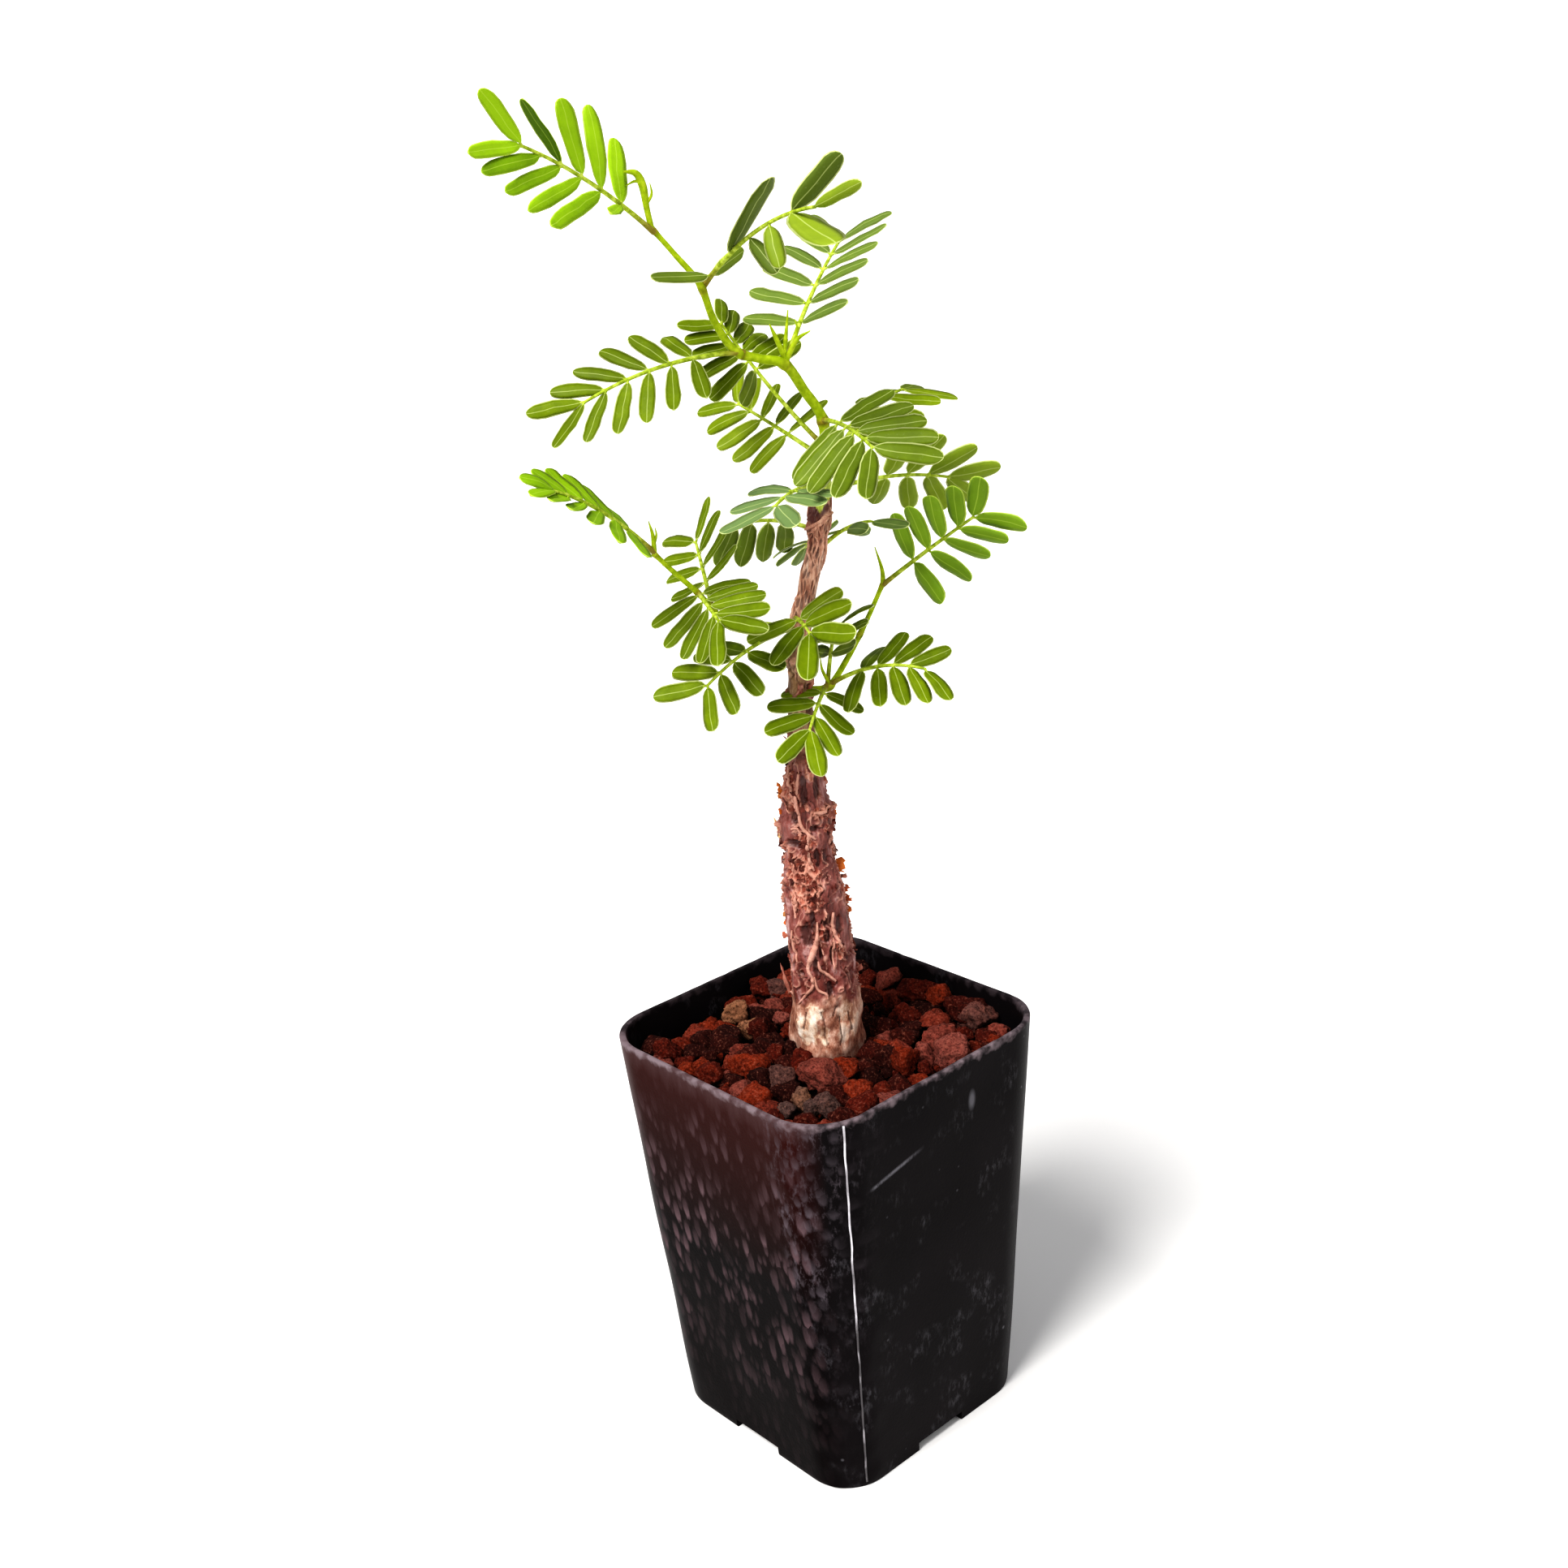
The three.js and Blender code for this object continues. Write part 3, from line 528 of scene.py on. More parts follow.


# Lava rock, crushed and unwashed: no shine at all. The tone of each stone picks its colour, pores and low grain
# are painted nearly black as shade, and the raised grain carries pale dust.
lava, tree, shader, where = new_finish("crushed_lava_rock")
rock = shades(tree, varied(tree, painted(tree, "tone"), clouds(tree, where, 420, 4), 0.13), [
    (0, "#180604"), (0.12, "#300e09"), (0.22, "#42130b"), (0.31, "#5a1b0d"), (0.42, "#7d2f15"),
    (0.5, "#753427"), (0.6, "#844a40"), (0.7, "#61433d"), (0.83, "#5b4742"), (0.93, "#94694e")])
speckle = clouds(tree, where, 1900, 4, 0.7)
for mask, over in ((span(tree, speckle, 0.54, 0.7, 0, 0.42), "#ad7560"),
                   # painted shade in the low grain and in the pits
                   (span(tree, speckle, 0.5, 0.36, 0, 0.75), "#220a06"), (painted(tree, "pit"), "#170503")):
    rock = blend(tree, mask, rock, over)
feed(shader, {
    "Base Color": rock, "Roughness": 0.95, "Specular IOR Level": 0.15,
    "Normal": add(tree, "ShaderNodeBump", {"Height": speckle, "Strength": 0.8, "Distance": 0.0004})})

# The bed under the loose stones fills the pot and is hidden but for the gaps, where it is painted dark as shade.
rings = [pot_ring(z, POT_WALL + 0.3) for z in (3.8, 20, 45, 70, 74)]
for share in (0.93, 0.86, 0.78, 0.7, 0.62, 0.54, 0.46, 0.38, 0.3, 0.22, 0.14, 0.06):
    ring = pot_ring(75, POT_WALL + 0.3, None, share)
    rings.append([p + Vector((0, 0, 1.1 * noise.noise(p / 2.3))) for p in ring])
bed = solid_of("gravel_bed", *loft(rings), lava)
mark(bed.data, tone=[0.1] * len(bed.data.vertices), pit=[0.55] * len(bed.data.vertices))
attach(bed, "root")
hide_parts("lava_gravel")

LUMP_SHAPES, CHIP_SHAPES = 7, 5
LUMPS, TRIES, CHIPS = 130, 900, 300
LUMP_HEIGHT, CHIP_HEIGHT = 77.9, 77.7  # of the stones that fill the gaps
LUMP_GAP, CHIP_GAP = 7.5, 7.6  # how far they keep from the trunk's middle
SWELL = 1.25  # the lumps are drawn a little too small
lump_pool = pool_of("lumps", (lump(f"lump_{i}", 11 + i, 4) for i in range(LUMP_SHAPES)))
chip_pool = pool_of("chips", (lump(f"chip_{i}", 41 + i, 3) for i in range(CHIP_SHAPES)))
gravel_tree = strewn("gravel")

chance = random.Random(7)
stones = [((x, y, z), (w, 0.8 * w, t), tone) for x, y, z, w, t, tone in SHOWN_STONES]
spread = POT_RIM / 2 - POT_WALL - 3.4
for _ in range(TRIES):  # the ones that fill the gaps, lower down
    x, y = chance.uniform(-spread, spread), chance.uniform(-spread, spread)
    w = chance.uniform(4.2, 6.4)
    near = min(math.hypot(x - p[0], y - p[1]) - 0.34 * (s[0] + w) for p, s, _ in stones)
    if near < 0 or abs(x) + abs(y) > 2 * spread - 7 or math.hypot(x, y) < LUMP_GAP or len(stones) > LUMPS:
        continue
    stones.append(((x, y, LUMP_HEIGHT + chance.uniform(-0.7, 0.9)), (w, 0.85 * w, 0.72 * w),
                   chance.choice((0.1, 0.14, 0.2, 0.26, 0.3, 0.34, 0.4, 0.48, 0.58))))
start = points_of(
    "stones", [s[0] for s in stones], size=[Vector(s[1]) * MM * SWELL for s in stones],
    tone=[s[2] for s in stones], shape=[i % LUMP_SHAPES for i in range(len(stones))],
    turn=[(chance.uniform(-0.4, 0.4), chance.uniform(-0.4, 0.4), 0.85 + chance.gauss(0, 0.5)) for _ in stones])
lumps = grown("lava_stones", start, gravel_tree, Shapes=lump_pool, Finish=lava)
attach(lumps, "root")
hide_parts("lava_gravel")

chips = []
spread += 1.9  # chips lie nearer the wall
while len(chips) < CHIPS:
    x, y = chance.uniform(-spread, spread), chance.uniform(-spread, spread)
    w = chance.uniform(1.3, 3.0)
    if abs(x) + abs(y) < 2 * spread - 6.5 and math.hypot(x, y) > CHIP_GAP:
        chips.append(((x, y, CHIP_HEIGHT + chance.uniform(-0.8, 1.1)), (w, 0.8 * w, 0.7 * w),
                      chance.choice((0.1, 0.2, 0.26, 0.3, 0.36, 0.44, 0.6))))
start = points_of(
    "chips", [c[0] for c in chips], size=[Vector(c[1]) * MM for c in chips], tone=[c[2] for c in chips],
    shape=[i % CHIP_SHAPES for i in range(len(chips))],
    turn=[tuple(chance.uniform(0, 6.28) for _ in range(3)) for _ in chips])
small = grown("lava_chips", start, gravel_tree, Shapes=chip_pool, Finish=lava)
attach(small, "root")
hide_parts("lava_gravel")

# ---- Trunk -----------------------------------------------------------------------------------------------
# The woody base, swollen at the foot and no thicker than a pencil. Young violet-brown bark shows satin between
# plates of dead bark that have dried, cracked and lifted; the buried foot has come up pale. It is modelled in
# the plant's own frame, in which x is to the right of the view, y away from it and z up from the gravel.
PLANT_TURN = math.radians(49)
TURNED = Matrix.Rotation(PLANT_TURN, 3, "Z")
TRUNK_RADII = [
    (-24, 2.5), (-12, 6.4), (0, 7.3), (12, 6.6), (24, 5.7), (34, 5.1), (42, 4.3), (49, 4.4), (56, 3.5),
    (63, 2.7), (72, 2.2), (86, 1.85), (92, 1.6), (97, 1.72), (102, 1.66), (107, 2.15), (112, 1.8), (118, 1.3)]
TRUNK_MIDDLE = [(-24, 0.5), (12, 0.5), (45, 0), (68, -0.1), (82, 0.3), (91, 2.4), (102, 5.5), (118, 7.4)]
# Heights between which the pale foot ends, and the netted bark of the thin top begins; and where bark ends.
FOOT_FADE, NET_FADE, BARK_TOP = (14.2, 11.8), (80, 86), 108.5

# Where the bark facing the view has something of its own: distance sideways, height, half width, half height.
PAPERY = [
    (-1.5, 39, 2.7, 3.8), (-2.6, 34.5, 1.7, 2.3), (-2.8, 55, 1.2, 4.5), (-0.8, 45.8, 1.7, 1.6),
    (2.2, 51, 1.8, 1.3), (0, 34, 1.3, 2.6), (1.2, 60, 1, 3)]
# Hollows are sunk into the bark, and painted dark as shade.
HOLLOWS = [
    (-0.5, 55.5, 0.7, 3.4), (-2.7, 45, 1.3, 1), (-0.9, 29.3, 0.6, 2.9), (-1.6, 26.2, 0.5, 1.6),
    (1.4, 29.2, 0.6, 0.7), (1.6, 26.5, 0.7, 1.3), (-1, 20.3, 0.6, 1.1), (0.1, 23.5, 0.4, 1.4),
    (-1, 107, 1.7, 2.2), (0.2, 107.8, 1.6, 0.9), (1.3, 15.6, 0.8, 1.4), (-1, 21, 0.5, 1.2),
    (-2.2, 27.2, 0.9, 2.6), (2.3, 22.4, 0.5, 1.8), (1, 42.3, 0.6, 1.9), (-2.6, 50.3, 0.6, 1.2),
    (0.9, 48.3, 0.8, 0.7), (3.9, 28, 0.5, 2), (1.8, 56, 0.5, 2.4)]
CREAM = [  # where the pale foot is clean
    (-3.5, 7.4, 2.2, 3.2), (-2.1, 11.2, 1.5, 1.8), (-0.6, 6.4, 0.9, 2.2), (3.9, 10.6, 1.5, 2.6),
    (3.4, 6.2, 1.3, 2), (5.5, 7.2, 0.9, 2.6)]
# Cracks in the foot, as lines of the same two distances.
CRACKS = [((-0.9, 11.4), (-0.3, 8.6), (-0.5, 6.4), (0, 4.6)), ((3, 9.4), (2.7, 6.9), (2.9, 5.6), (2.4, 4)),
          ((2.5, 11.8), (1.9, 11.3), (1.5, 10)), ((-3.6, 11), (-4.2, 7.5)), ((4.7, 10), (5, 6))]
LEFT = math.pi  # the angle round the trunk of its left outline in the view; the right one's is 0
# Swellings and necks of the whole trunk: angle round it, height, half angle, half height and rise.
SWELLINGS = [
    (LEFT, 48.8, 0.8, 4.2, 0.85), (LEFT, 38.6, 0.7, 3, 0.55), (LEFT, 29.5, 0.8, 4.5, 0.55),
    (0, 51.3, 0.6, 2.3, 0.6), (0, 44.3, 0.6, 2.6, -0.4), (0, 37.5, 0.5, 4, 0.35), (0, 32, 0.5, 1.6, 0.4),
    (0, 24, 0.5, 3, 0.3), (-1.2, 52.5, 0.5, 1.4, 0.35), (-1.6, 42, 0.6, 2, -0.3), (-2, 27, 0.5, 4, 0.3)]


def table_at(table, z):
    """The value of a table at a height."""
    return float(np.interp(z, [row[0] for row in table], [row[1] for row in table]))


def planted(p):
    """A point of the plant's frame as a point of the pot's, in millimetres."""
    return TURNED @ Vector(p) + Vector((0, 0, SURFACE))


def fade(value, start, end):
    """0 before start and 1 past end, easing between the two, which may run either way."""
    t = min(1, max(0, (value - start) / (end - start)))
    return t * t * (3 - 2 * t)


def near_spot(spots, x, z, stray):
    """How far a place on the bark is inside one of the spots, 0 to 1."""
    most = 0
    for sx, sz, wide, tall in spots:
        d = math.hypot((x - sx) / wide, (z - sz) / tall) + stray
        if d < 1.2:
            most = max(most, fade(d, 1.12, 0.82))
    return most


def near_line(lines, x, z, reach):
    """How close a place on the bark is to one of the lines: 1 on it and 0 past reach."""
    best = reach
    for line in lines:
        for (x0, z0), (x1, z1) in zip(line, line[1:]):
            along = ((x - x0) * (x1 - x0) + (z - z0) * (z1 - z0)) / ((x1 - x0) ** 2 + (z1 - z0) ** 2)
            along = min(1, max(0, along))
            best = min(best, math.hypot(x - x0 - along * (x1 - x0), z - z0 - along * (z1 - z0)))
    return 1 - best / reach


# What is known of every point of the bark, 0 to 1 each; the material reads them by these names.
BARK_LOOKS = ("paper", "shade_and_stain", "pale", "net", "green", "rubbed", "cream")


def bark_at(a, z):
    """The bark at an angle round the trunk and a height: its radius, and the looks in the order of BARK_LOOKS."""
    radius = table_at(TRUNK_RADII, z)
    plain = radius * (1 + 0.06 * math.sin(3 * a + 0.11 * z)
                      + 0.05 * math.sin(5 * a - 0.23 * z) * math.sin(0.4 * z + 2 * a))
    skin = Vector((radius * math.cos(a), radius * math.sin(a), z))

    def stretched(wide, tall, height=z):
        """The place on the skin in a pattern that is this wide and this tall."""
        return Vector((skin.x / wide, skin.y / wide, height / tall))

    grain = stretched(1, 4.5)
    stray = 0.34 * noise.noise(skin / 0.9) + 0.2 * noise.noise(skin / 0.35)
    facing_view = math.sin(a) < 0.1
    x = skin.x if facing_view else 99

    pale = fade(z + 2.4 * noise.noise(skin / 2.4) + 0.1 * skin.x, *FOOT_FADE)
    green = fade(z + 1.2 * math.sin(3 * a) + 0.9 * noise.noise(skin / 0.8), BARK_TOP - 0.3, BARK_TOP + 0.3)
    net = fade(z + 3 * noise.noise(skin / 1.5), *NET_FADE) * (1 - green)
    net *= 1 - near_spot(HOLLOWS, x, z, stray) if z > 100 else 1  # the notch at the top is no net
    bare = (1 - pale) * (1 - net) * (1 - green)  # the bark between foot and top

    # Plates of dead bark lift where a broken-up pattern runs high; most of them are half way up.
    drift = Vector((noise.noise(skin / 2.6), noise.noise(skin / 2.6 + Vector((7, 0, 0))), 0)) * 0.8
    plate_wave = noise.noise(stretched(2.4, 6) + drift + Vector((3, 7, 1)))
    plate_wave += 0.4 * noise.noise(stretched(0.9, 2.2) + drift)
    plenty = 0.36 - 0.3 * fade(z, 15, 28) + 0.3 * fade(z, 60, 76)
    if facing_view and z < 62:
        plenty += 0.34 * fade(-math.sin(a), 0.1, 0.5)
    paper = fade(plate_wave, plenty, plenty + 0.05) * bare
    paper = max(paper, near_spot(PAPERY, x, z, stray))
    shade_and_stain = near_spot(HOLLOWS, x, z, 0.8 * stray)
    # Folds run up the trunk: thin crests, painted pale as a highlight, and narrow valleys, painted dark as shade.
    flow = stretched(1.7, 8) + 1.4 * drift
    crest = max(0, 1 - abs(noise.noise(flow + Vector((0, 0, 31)))) / 0.13) ** 1.5
    crest *= fade(noise.noise(skin / 3.4 + Vector((4, 4, 4))), -0.3, 0.1) * bare
    valley = max(0, 1 - abs(noise.noise(1.25 * flow + Vector((11, 5, 2)))) / 0.12)
    valley *= fade(noise.noise(skin / 2.9 + Vector((1, 8, 3))), -0.1, 0.25) * bare
    crack = fade(near_line(CRACKS, x + 0.35 * stray, z, 0.26), 0.1, 0.9) if z < 14 else 0

    rise = 0.3 * noise.noise(skin / 3.1) + 0.14 * noise.noise(grain / 0.7) * (1 - green) * (1 - 0.75 * pale)
    rise += 0.08 * noise.noise(grain / 0.3) * (1 - green) * (1 - 0.75 * pale)
    for at, high, half_turn, half_high, amount in SWELLINGS:
        gap = (a - at + math.pi) % (2 * math.pi) - math.pi
        rise += amount * math.exp(-(gap / half_turn) ** 2 - ((z - high) / half_high) ** 2)
    rise += 0.48 * crest - 0.48 * valley - shade_and_stain * (0.6 - 0.2 * fade(z, 40, 60)) - 0.3 * crack
    if paper > 0:  # crumpled, its scraps standing up along their edges
        cell = noise.voronoi(Vector((skin.x, skin.y, 0.55 * z)) / 1.15 + 1.1 * drift)[0]
        edge = fade(cell[1] - cell[0], 0.22, 0.02)
        rise += paper * (0.22 + 0.42 * edge + 0.14 * noise.noise(skin / 0.45) + 0.3 * (cell[0] - 0.4))
        shade_and_stain = max(shade_and_stain, paper * 0.5 * fade(noise.noise(skin / 0.6), 0.1, 0.4))
        # The scraps' raised edges get the painted crest highlight too.
        crest = max(crest, 0.85 * edge * paper)
    cream = 0
    if pale > 0:
        rise += pale * 0.16 * noise.noise(stretched(0.9, 1.6) + drift)
        stain = noise.noise(stretched(1.5, 2.2) + 2 * drift)
        # Real stains on the foot, and darker towards the gravel.
        shade_and_stain = max(shade_and_stain, pale * 0.4 * fade(stain, 0.15, 0.5), pale * 0.5 * fade(z, 3.6, 1.8))
        ragged = noise.noise(stretched(0.5, 0.9))
        clean = near_spot(CREAM, x, z, 0.8 * stray + 0.35 * ragged) if facing_view else fade(-stain, 0.1, 0.4)
        cream = pale * clean * (0.55 + 0.45 * fade(x, 1.4, -0.6))
        rise += 0.07 * cream
    if net > 0:
        cell = noise.voronoi(stretched(0.72, 2.3, z + 0.5 * skin.x))[0]
        mesh_of_bark = fade(cell[1] - cell[0], 0.32, 0.1)
        rise += net * (0.34 * mesh_of_bark - 0.2)
        # Painted shade in the net's slits.
        shade_and_stain = max(shade_and_stain, net * (1 - mesh_of_bark) * 0.85)
    # The dark mask is painted shade in hollows, valleys, cracks and slits, with dark patches on the plates and
    # stains on the foot.
    shade_and_stain = max(shade_and_stain * (1 - green), 0.75 * valley, crack)
    return plain + rise * min(1, radius / 2.4), paper, shade_and_stain, pale, net, green, crest, cream


def on_trunk(a, z, above=0):
    """A point over the bark, in the plant's frame."""
    reach = bark_at(a, z)[0] + above
    return Vector((table_at(TRUNK_MIDDLE, z) + reach * math.cos(a), reach * math.sin(a), z))


def view_angle(x, z):
    """The angle round the trunk of what the view shows x to the right of its middle line."""
    return math.asin(max(-1, min(1, x / table_at(TRUNK_RADII, z)))) - math.pi / 2


COLUMNS = 196  # points round the trunk
levels = [*np.arange(-24, -3, 3), *np.arange(-3, 63, 0.205), *np.arange(63, 118.1, 0.33)]
points, skins = [], []
for z_mm in levels:
    for i in range(COLUMNS):
        a = 2 * math.pi * i / COLUMNS
        reach, *looks = bark_at(a, z_mm)
        points.append(planted((table_at(TRUNK_MIDDLE, z_mm) + reach * math.cos(a), reach * math.sin(a), z_mm)))
        skins.append(looks)
_, faces = loft([points[i:i + COLUMNS] for i in range(0, len(points), COLUMNS)])

# Bark: the living skin is satin from its waxy cork, IOR about 1.5; dead plates are dull, fibrous and orange
# where they have just broken. Colours are those of the dry bark in daylight, with a painted highlight on the
# crests and painted shade in the hollows, valleys and slits.
bark, tree, shader, where = new_finish("live_and_flaking_bark")
masks = {key: painted(tree, key) for key in BARK_LOOKS}
fibres = clouds(tree, where, (1500, 1500, 190), 5, 0.62)
streak = clouds(tree, where, (460, 460, 110), 5, 0.6)
stained = clouds(tree, where, (420, 420, 260), 7, 0.66)
blotch = clouds(tree, where, 330, 5, 0.6)
broad = clouds(tree, where, 120, 3)
fine = clouds(tree, where, 3200, 4, 0.7)


def mixed(tree, share, a, b):
    """Two patterns mixed, with this share of the second."""
    return add(tree, "ShaderNodeMix", {0: share, "A": a, "B": b})


skin_pattern, dirt = mixed(tree, 0.5, streak, blotch), mixed(tree, 0.88, fibres, stained)
# The living skin's palest lilac streaks are a painted waxy sheen.
living = shades(tree, skin_pattern, [(0.35, "#3f130e"), (0.45, "#6b2e24"), (0.54, "#8c5047"), (0.63, "#bd9792")])
dead = shades(tree, mixed(tree, 0.5, fibres, blotch), [
    (0.34, "#481309"), (0.44, "#7b3424"), (0.52, "#9c5542"), (0.61, "#cb8d77"), (0.72, "#dab09f")])
soiled = shades(tree, dirt, [(0.36, "#633321"), (0.45, "#9a6751"), (0.53, "#bb8d78"), (0.62, "#dcb9a5")])
creamy = shades(tree, dirt, [(0.36, "#96664b"), (0.44, "#cba387"), (0.52, "#ecd5be"), (0.62, "#fcf1e2")])
netted = shades(tree, mixed(tree, 0.4, fibres, broad), [
    (0.36, "#763f2c"), (0.47, "#a8745d"), (0.57, "#d1a68f"), (0.7, "#ecd3c5")])
shoot_green = shades(tree, fibres, [(0.35, "#8ea02c"), (0.65, "#c3cf55")])
# Higher up, where the trunk is thin, its skin is olive brown.
height = add(tree, "ShaderNodeSeparateXYZ", {0: where}).outputs["Z"]
thin = times(tree, span(tree, height, 0.138, 0.147, 0, 0.8), span(tree, height, 0.178, 0.168))
colour = blend(tree, thin, living, shades(tree, skin_pattern, [
    (0.36, "#4e2f1c"), (0.5, "#86673f"), (0.64, "#b4976c")]))
flecks = span(tree, fine, 0.44, 0.3, 0, 0.5)
for mask, over in ((masks["paper"], dead), (masks["net"], netted),
                   (masks["pale"], blend(tree, masks["cream"], soiled, creamy)),
                   # painted highlight along the crests, the scraps' edges and the cords
                   (times(tree, masks["rubbed"], 0.75), "#dba793"),
                   # painted shade, and the foot's stains
                   (times(tree, masks["shade_and_stain"], 0.78), "#380e08"), (masks["green"], shoot_green),
                   (flecks, "#3a1712")):
    colour = blend(tree, mask, colour, over)
dry = maths(tree, "MAXIMUM", masks["paper"], masks["pale"])
feed(shader, {
    "Base Color": colour, "IOR": 1.5, "Roughness": span(tree, dry, 0, 1, 0.46, 0.85),
    "Normal": add(tree, "ShaderNodeBump", {"Height": mixed(tree, 0.4, fibres, fine),
                                           "Strength": 0.55, "Distance": 0.00025})})
trunk = solid_of("trunk_bark", points, faces, bark)
mark(trunk.data, **dict(zip(BARK_LOOKS, zip(*skins))))
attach(trunk, "root")
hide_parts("trunk")

# Thin dead roots and rolled edges of bark that cling to the trunk: distance sideways, height and radius.
CLINGING = [
    [(-0.1, 29.5, 0.16), (-0.3, 27, 0.3), (-0.8, 25, 0.5), (-1.3, 23.6, 0.66), (-2.1, 21.6, 0.46),
     (-2.4, 20.2, 0.36), (-1.9, 18.5, 0.34), (-2, 16.5, 0.36), (-3.5, 14.6, 0.3), (-5, 12.3, 0.18)],
    [(-0.6, 21.6, 0.22), (-0.3, 19.9, 0.32), (1.1, 18.6, 0.34), (2.6, 17, 0.26)],
    [(-1.5, 18.6, 0.2), (-1.1, 16, 0.26), (0.4, 14.9, 0.26), (0.6, 13.9, 0.16)],
    [(0.2, 25.5, 0.14), (0.4, 24.2, 0.22), (0.6, 22.7, 0.14)],
    [(-2.9, 60, 0.2), (-2.7, 57.4, 0.32), (-2.4, 54.6, 0.32), (-1.9, 51.4, 0.2)],
    [(-1, 59, 0.2), (-1.8, 54.6, 0.35), (-1.7, 50.6, 0.35), (-1.3, 48.7, 0.35), (-0.4, 47.6, 0.35),
     (0.9, 46.3, 0.22)],
    [(-3.1, 48.1, 0.2), (-2.3, 48.4, 0.28), (-1.5, 47.2, 0.2)],
    [(-0.2, 47.5, 0.25), (-0.6, 44.5, 0.34), (-0.4, 42, 0.32), (0.2, 40, 0.2)],
    [(2.7, 26, 0.2), (2.6, 22.5, 0.26), (2.5, 19.4, 0.18)],
    [(-3.6, 36, 0.2), (-3.3, 33.5, 0.33), (-3.9, 31.3, 0.2)], [(-4.2, 33.5, 0.2), (-3.7, 30.3, 0.2)],
    [(0.9, 51.6, 0.25), (2.2, 51.2, 0.4), (3.4, 51.9, 0.25)],
    [(3, 31, 0.25), (2.7, 28.4, 0.34), (3.2, 25.6, 0.3), (3.9, 22.4, 0.2)],
    [(-4.4, 27.6, 0.2), (-4.6, 24.5, 0.3), (-4.3, 21.2, 0.2)]]

# And the tan strands of torn bark at the trunk's top.
STRANDS = [
    [(2.8, 106.7, 0.2), (1.2, 106.5, 0.34), (0, 105.4, 0.36), (-1.4, 104.5, 0.34), (-2.1, 103.7, 0.2)],
    [(2.1, 106.2, 0.2), (0.8, 105.5, 0.26), (-0.8, 104.1, 0.28), (-1.9, 103, 0.2)],
    [(2.5, 106.2, 0.2), (2, 104.3, 0.3), (1.4, 102.4, 0.26), (1.5, 100.4, 0.3), (2, 98.4, 0.3),
     (2.1, 96.2, 0.15)],
    [(-0.2, 104.7, 0.15), (0.3, 103.2, 0.24), (0.9, 101.6, 0.22), (0.9, 100.1, 0.24), (1.1, 96.7, 0.12)],
    [(-1.4, 103.2, 0.12), (-1.6, 101.5, 0.24), (-1.4, 99.8, 0.22), (-0.7, 98.2, 0.22), (-0.6, 96.4, 0.12)],
    [(-0.7, 102.8, 0.12), (0, 101.7, 0.2), (-0.1, 100.3, 0.2), (-0.3, 99, 0.2), (0.2, 97.7, 0.1)],
    [(-1.4, 92, 0.2), (-1.9, 90.2, 0.36), (-2.3, 88.3, 0.4), (-2.6, 86.6, 0.4)]]


def smooth_line(points, step):
    """Points every step or so along a smooth curve through the given points, each of any number of values."""
    rows = [np.array(p, float) for p in points]
    rows = [2 * rows[0] - rows[1], *rows, 2 * rows[-1] - rows[-2]]
    line = []
    for a, b, c, d in zip(rows, rows[1:], rows[2:], rows[3:]):
        count = max(1, round(float(np.linalg.norm((c - b)[:3])) / step))
        for t in (i / count for i in range(count)):
            line.append(0.5 * (2 * b + (c - a) * t + (2 * a - 5 * b + 4 * c - d) * t * t
                               + (3 * b - a - 3 * c + d) * t ** 3))
    return [*line, rows[-2]]


def cords_along(kit, chains, sides):
    """Makes every chain of edges a round cord as thick as its points say."""
    line = add(kit, "GeometryNodeMeshToCurve", {"Mesh": chains})
    ring = add(kit, "GeometryNodeCurvePrimitiveCircle", {"Resolution": sides, "Radius": MM})
    swept = add(kit, "GeometryNodeCurveToMesh", {
        "Curve": line, "Profile Curve": ring, "Scale": carried(kit, "thick"), "Fill Caps": True})
    return add(kit, "GeometryNodeSetShadeSmooth", {0: swept})


def cord_kit(name, sides):
    """A geometry tree that makes cords of the chains in its start mesh."""
    kit, given = new_kit(name, Finish="Material")
    cords = cords_along(kit, given.outputs["Geometry"], sides)
    add(kit, "NodeGroupOutput", {0: coated(kit, cords, given.outputs["Finish"])})
    return kit


def chains_of(name, lines, loose=(), **values):
    """A mesh of chains of edges, and of loose points, in millimetres. A chain's points are x, y, z and the radius
    there; values are one per chain."""
    mesh = bpy.data.meshes.new(name)
    points, edges, rows = [], [], {key: [] for key in values}
    for i, line in enumerate(lines):
        edges += [(len(points) + k, len(points) + k + 1) for k in range(len(line) - 1)]
        points += line
        for key in values:
            rows[key] += [values[key][i]] * len(line)
    mesh.from_pydata([Vector(p[:3]) * MM for p in [*points, *loose]], edges, [])
    mark(mesh, thick=[p[3] for p in points] + [0] * len(loose), **rows)
    return mesh


lines = []
for cord in CLINGING + STRANDS:
    run = []
    for x, z_mm, radius in smooth_line(cord, 0.4):
        spot = on_trunk(view_angle(x, z_mm), z_mm, 0.45 * radius)
        run.append((*planted(spot), radius * (1 + 0.3 * noise.noise(spot / 0.5))))
    lines.append(run)
FAR_CORDS = 16  # the same sort of thing on the far side
chance = random.Random(3)
for _ in range(FAR_CORDS):
    a, z_mm = chance.uniform(0.1, math.pi - 0.1), chance.uniform(16, 60)
    run = []
    for k in range(14):  # each wanders down, thickest half way
        radius = 0.36 * math.sin(math.pi * (k + 1.5) / 16)
        run.append((*planted(on_trunk(a, z_mm, 0.1)), radius))
        a += chance.uniform(-0.05, 0.05) + 0.03 * math.sin(k)
        z_mm -= 0.45
    lines.append(run)
# The roots carry much of the painted crest highlight and a little pale, and the strands are coloured like the
# netted bark around them.
looks = [(0.8, 0.3, 0)] * len(CLINGING) + [(0.3, 0, 1)] * len(STRANDS) + [(0.5, 0, 0)] * FAR_CORDS
rubbed, pale, net = zip(*looks)
start = chains_of("clinging", lines, rubbed=rubbed, pale=pale, net=net)
cords = grown("clinging_roots", start, cord_kit("cord", 8), Finish=bark)
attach(cords, "root")
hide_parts("trunk")


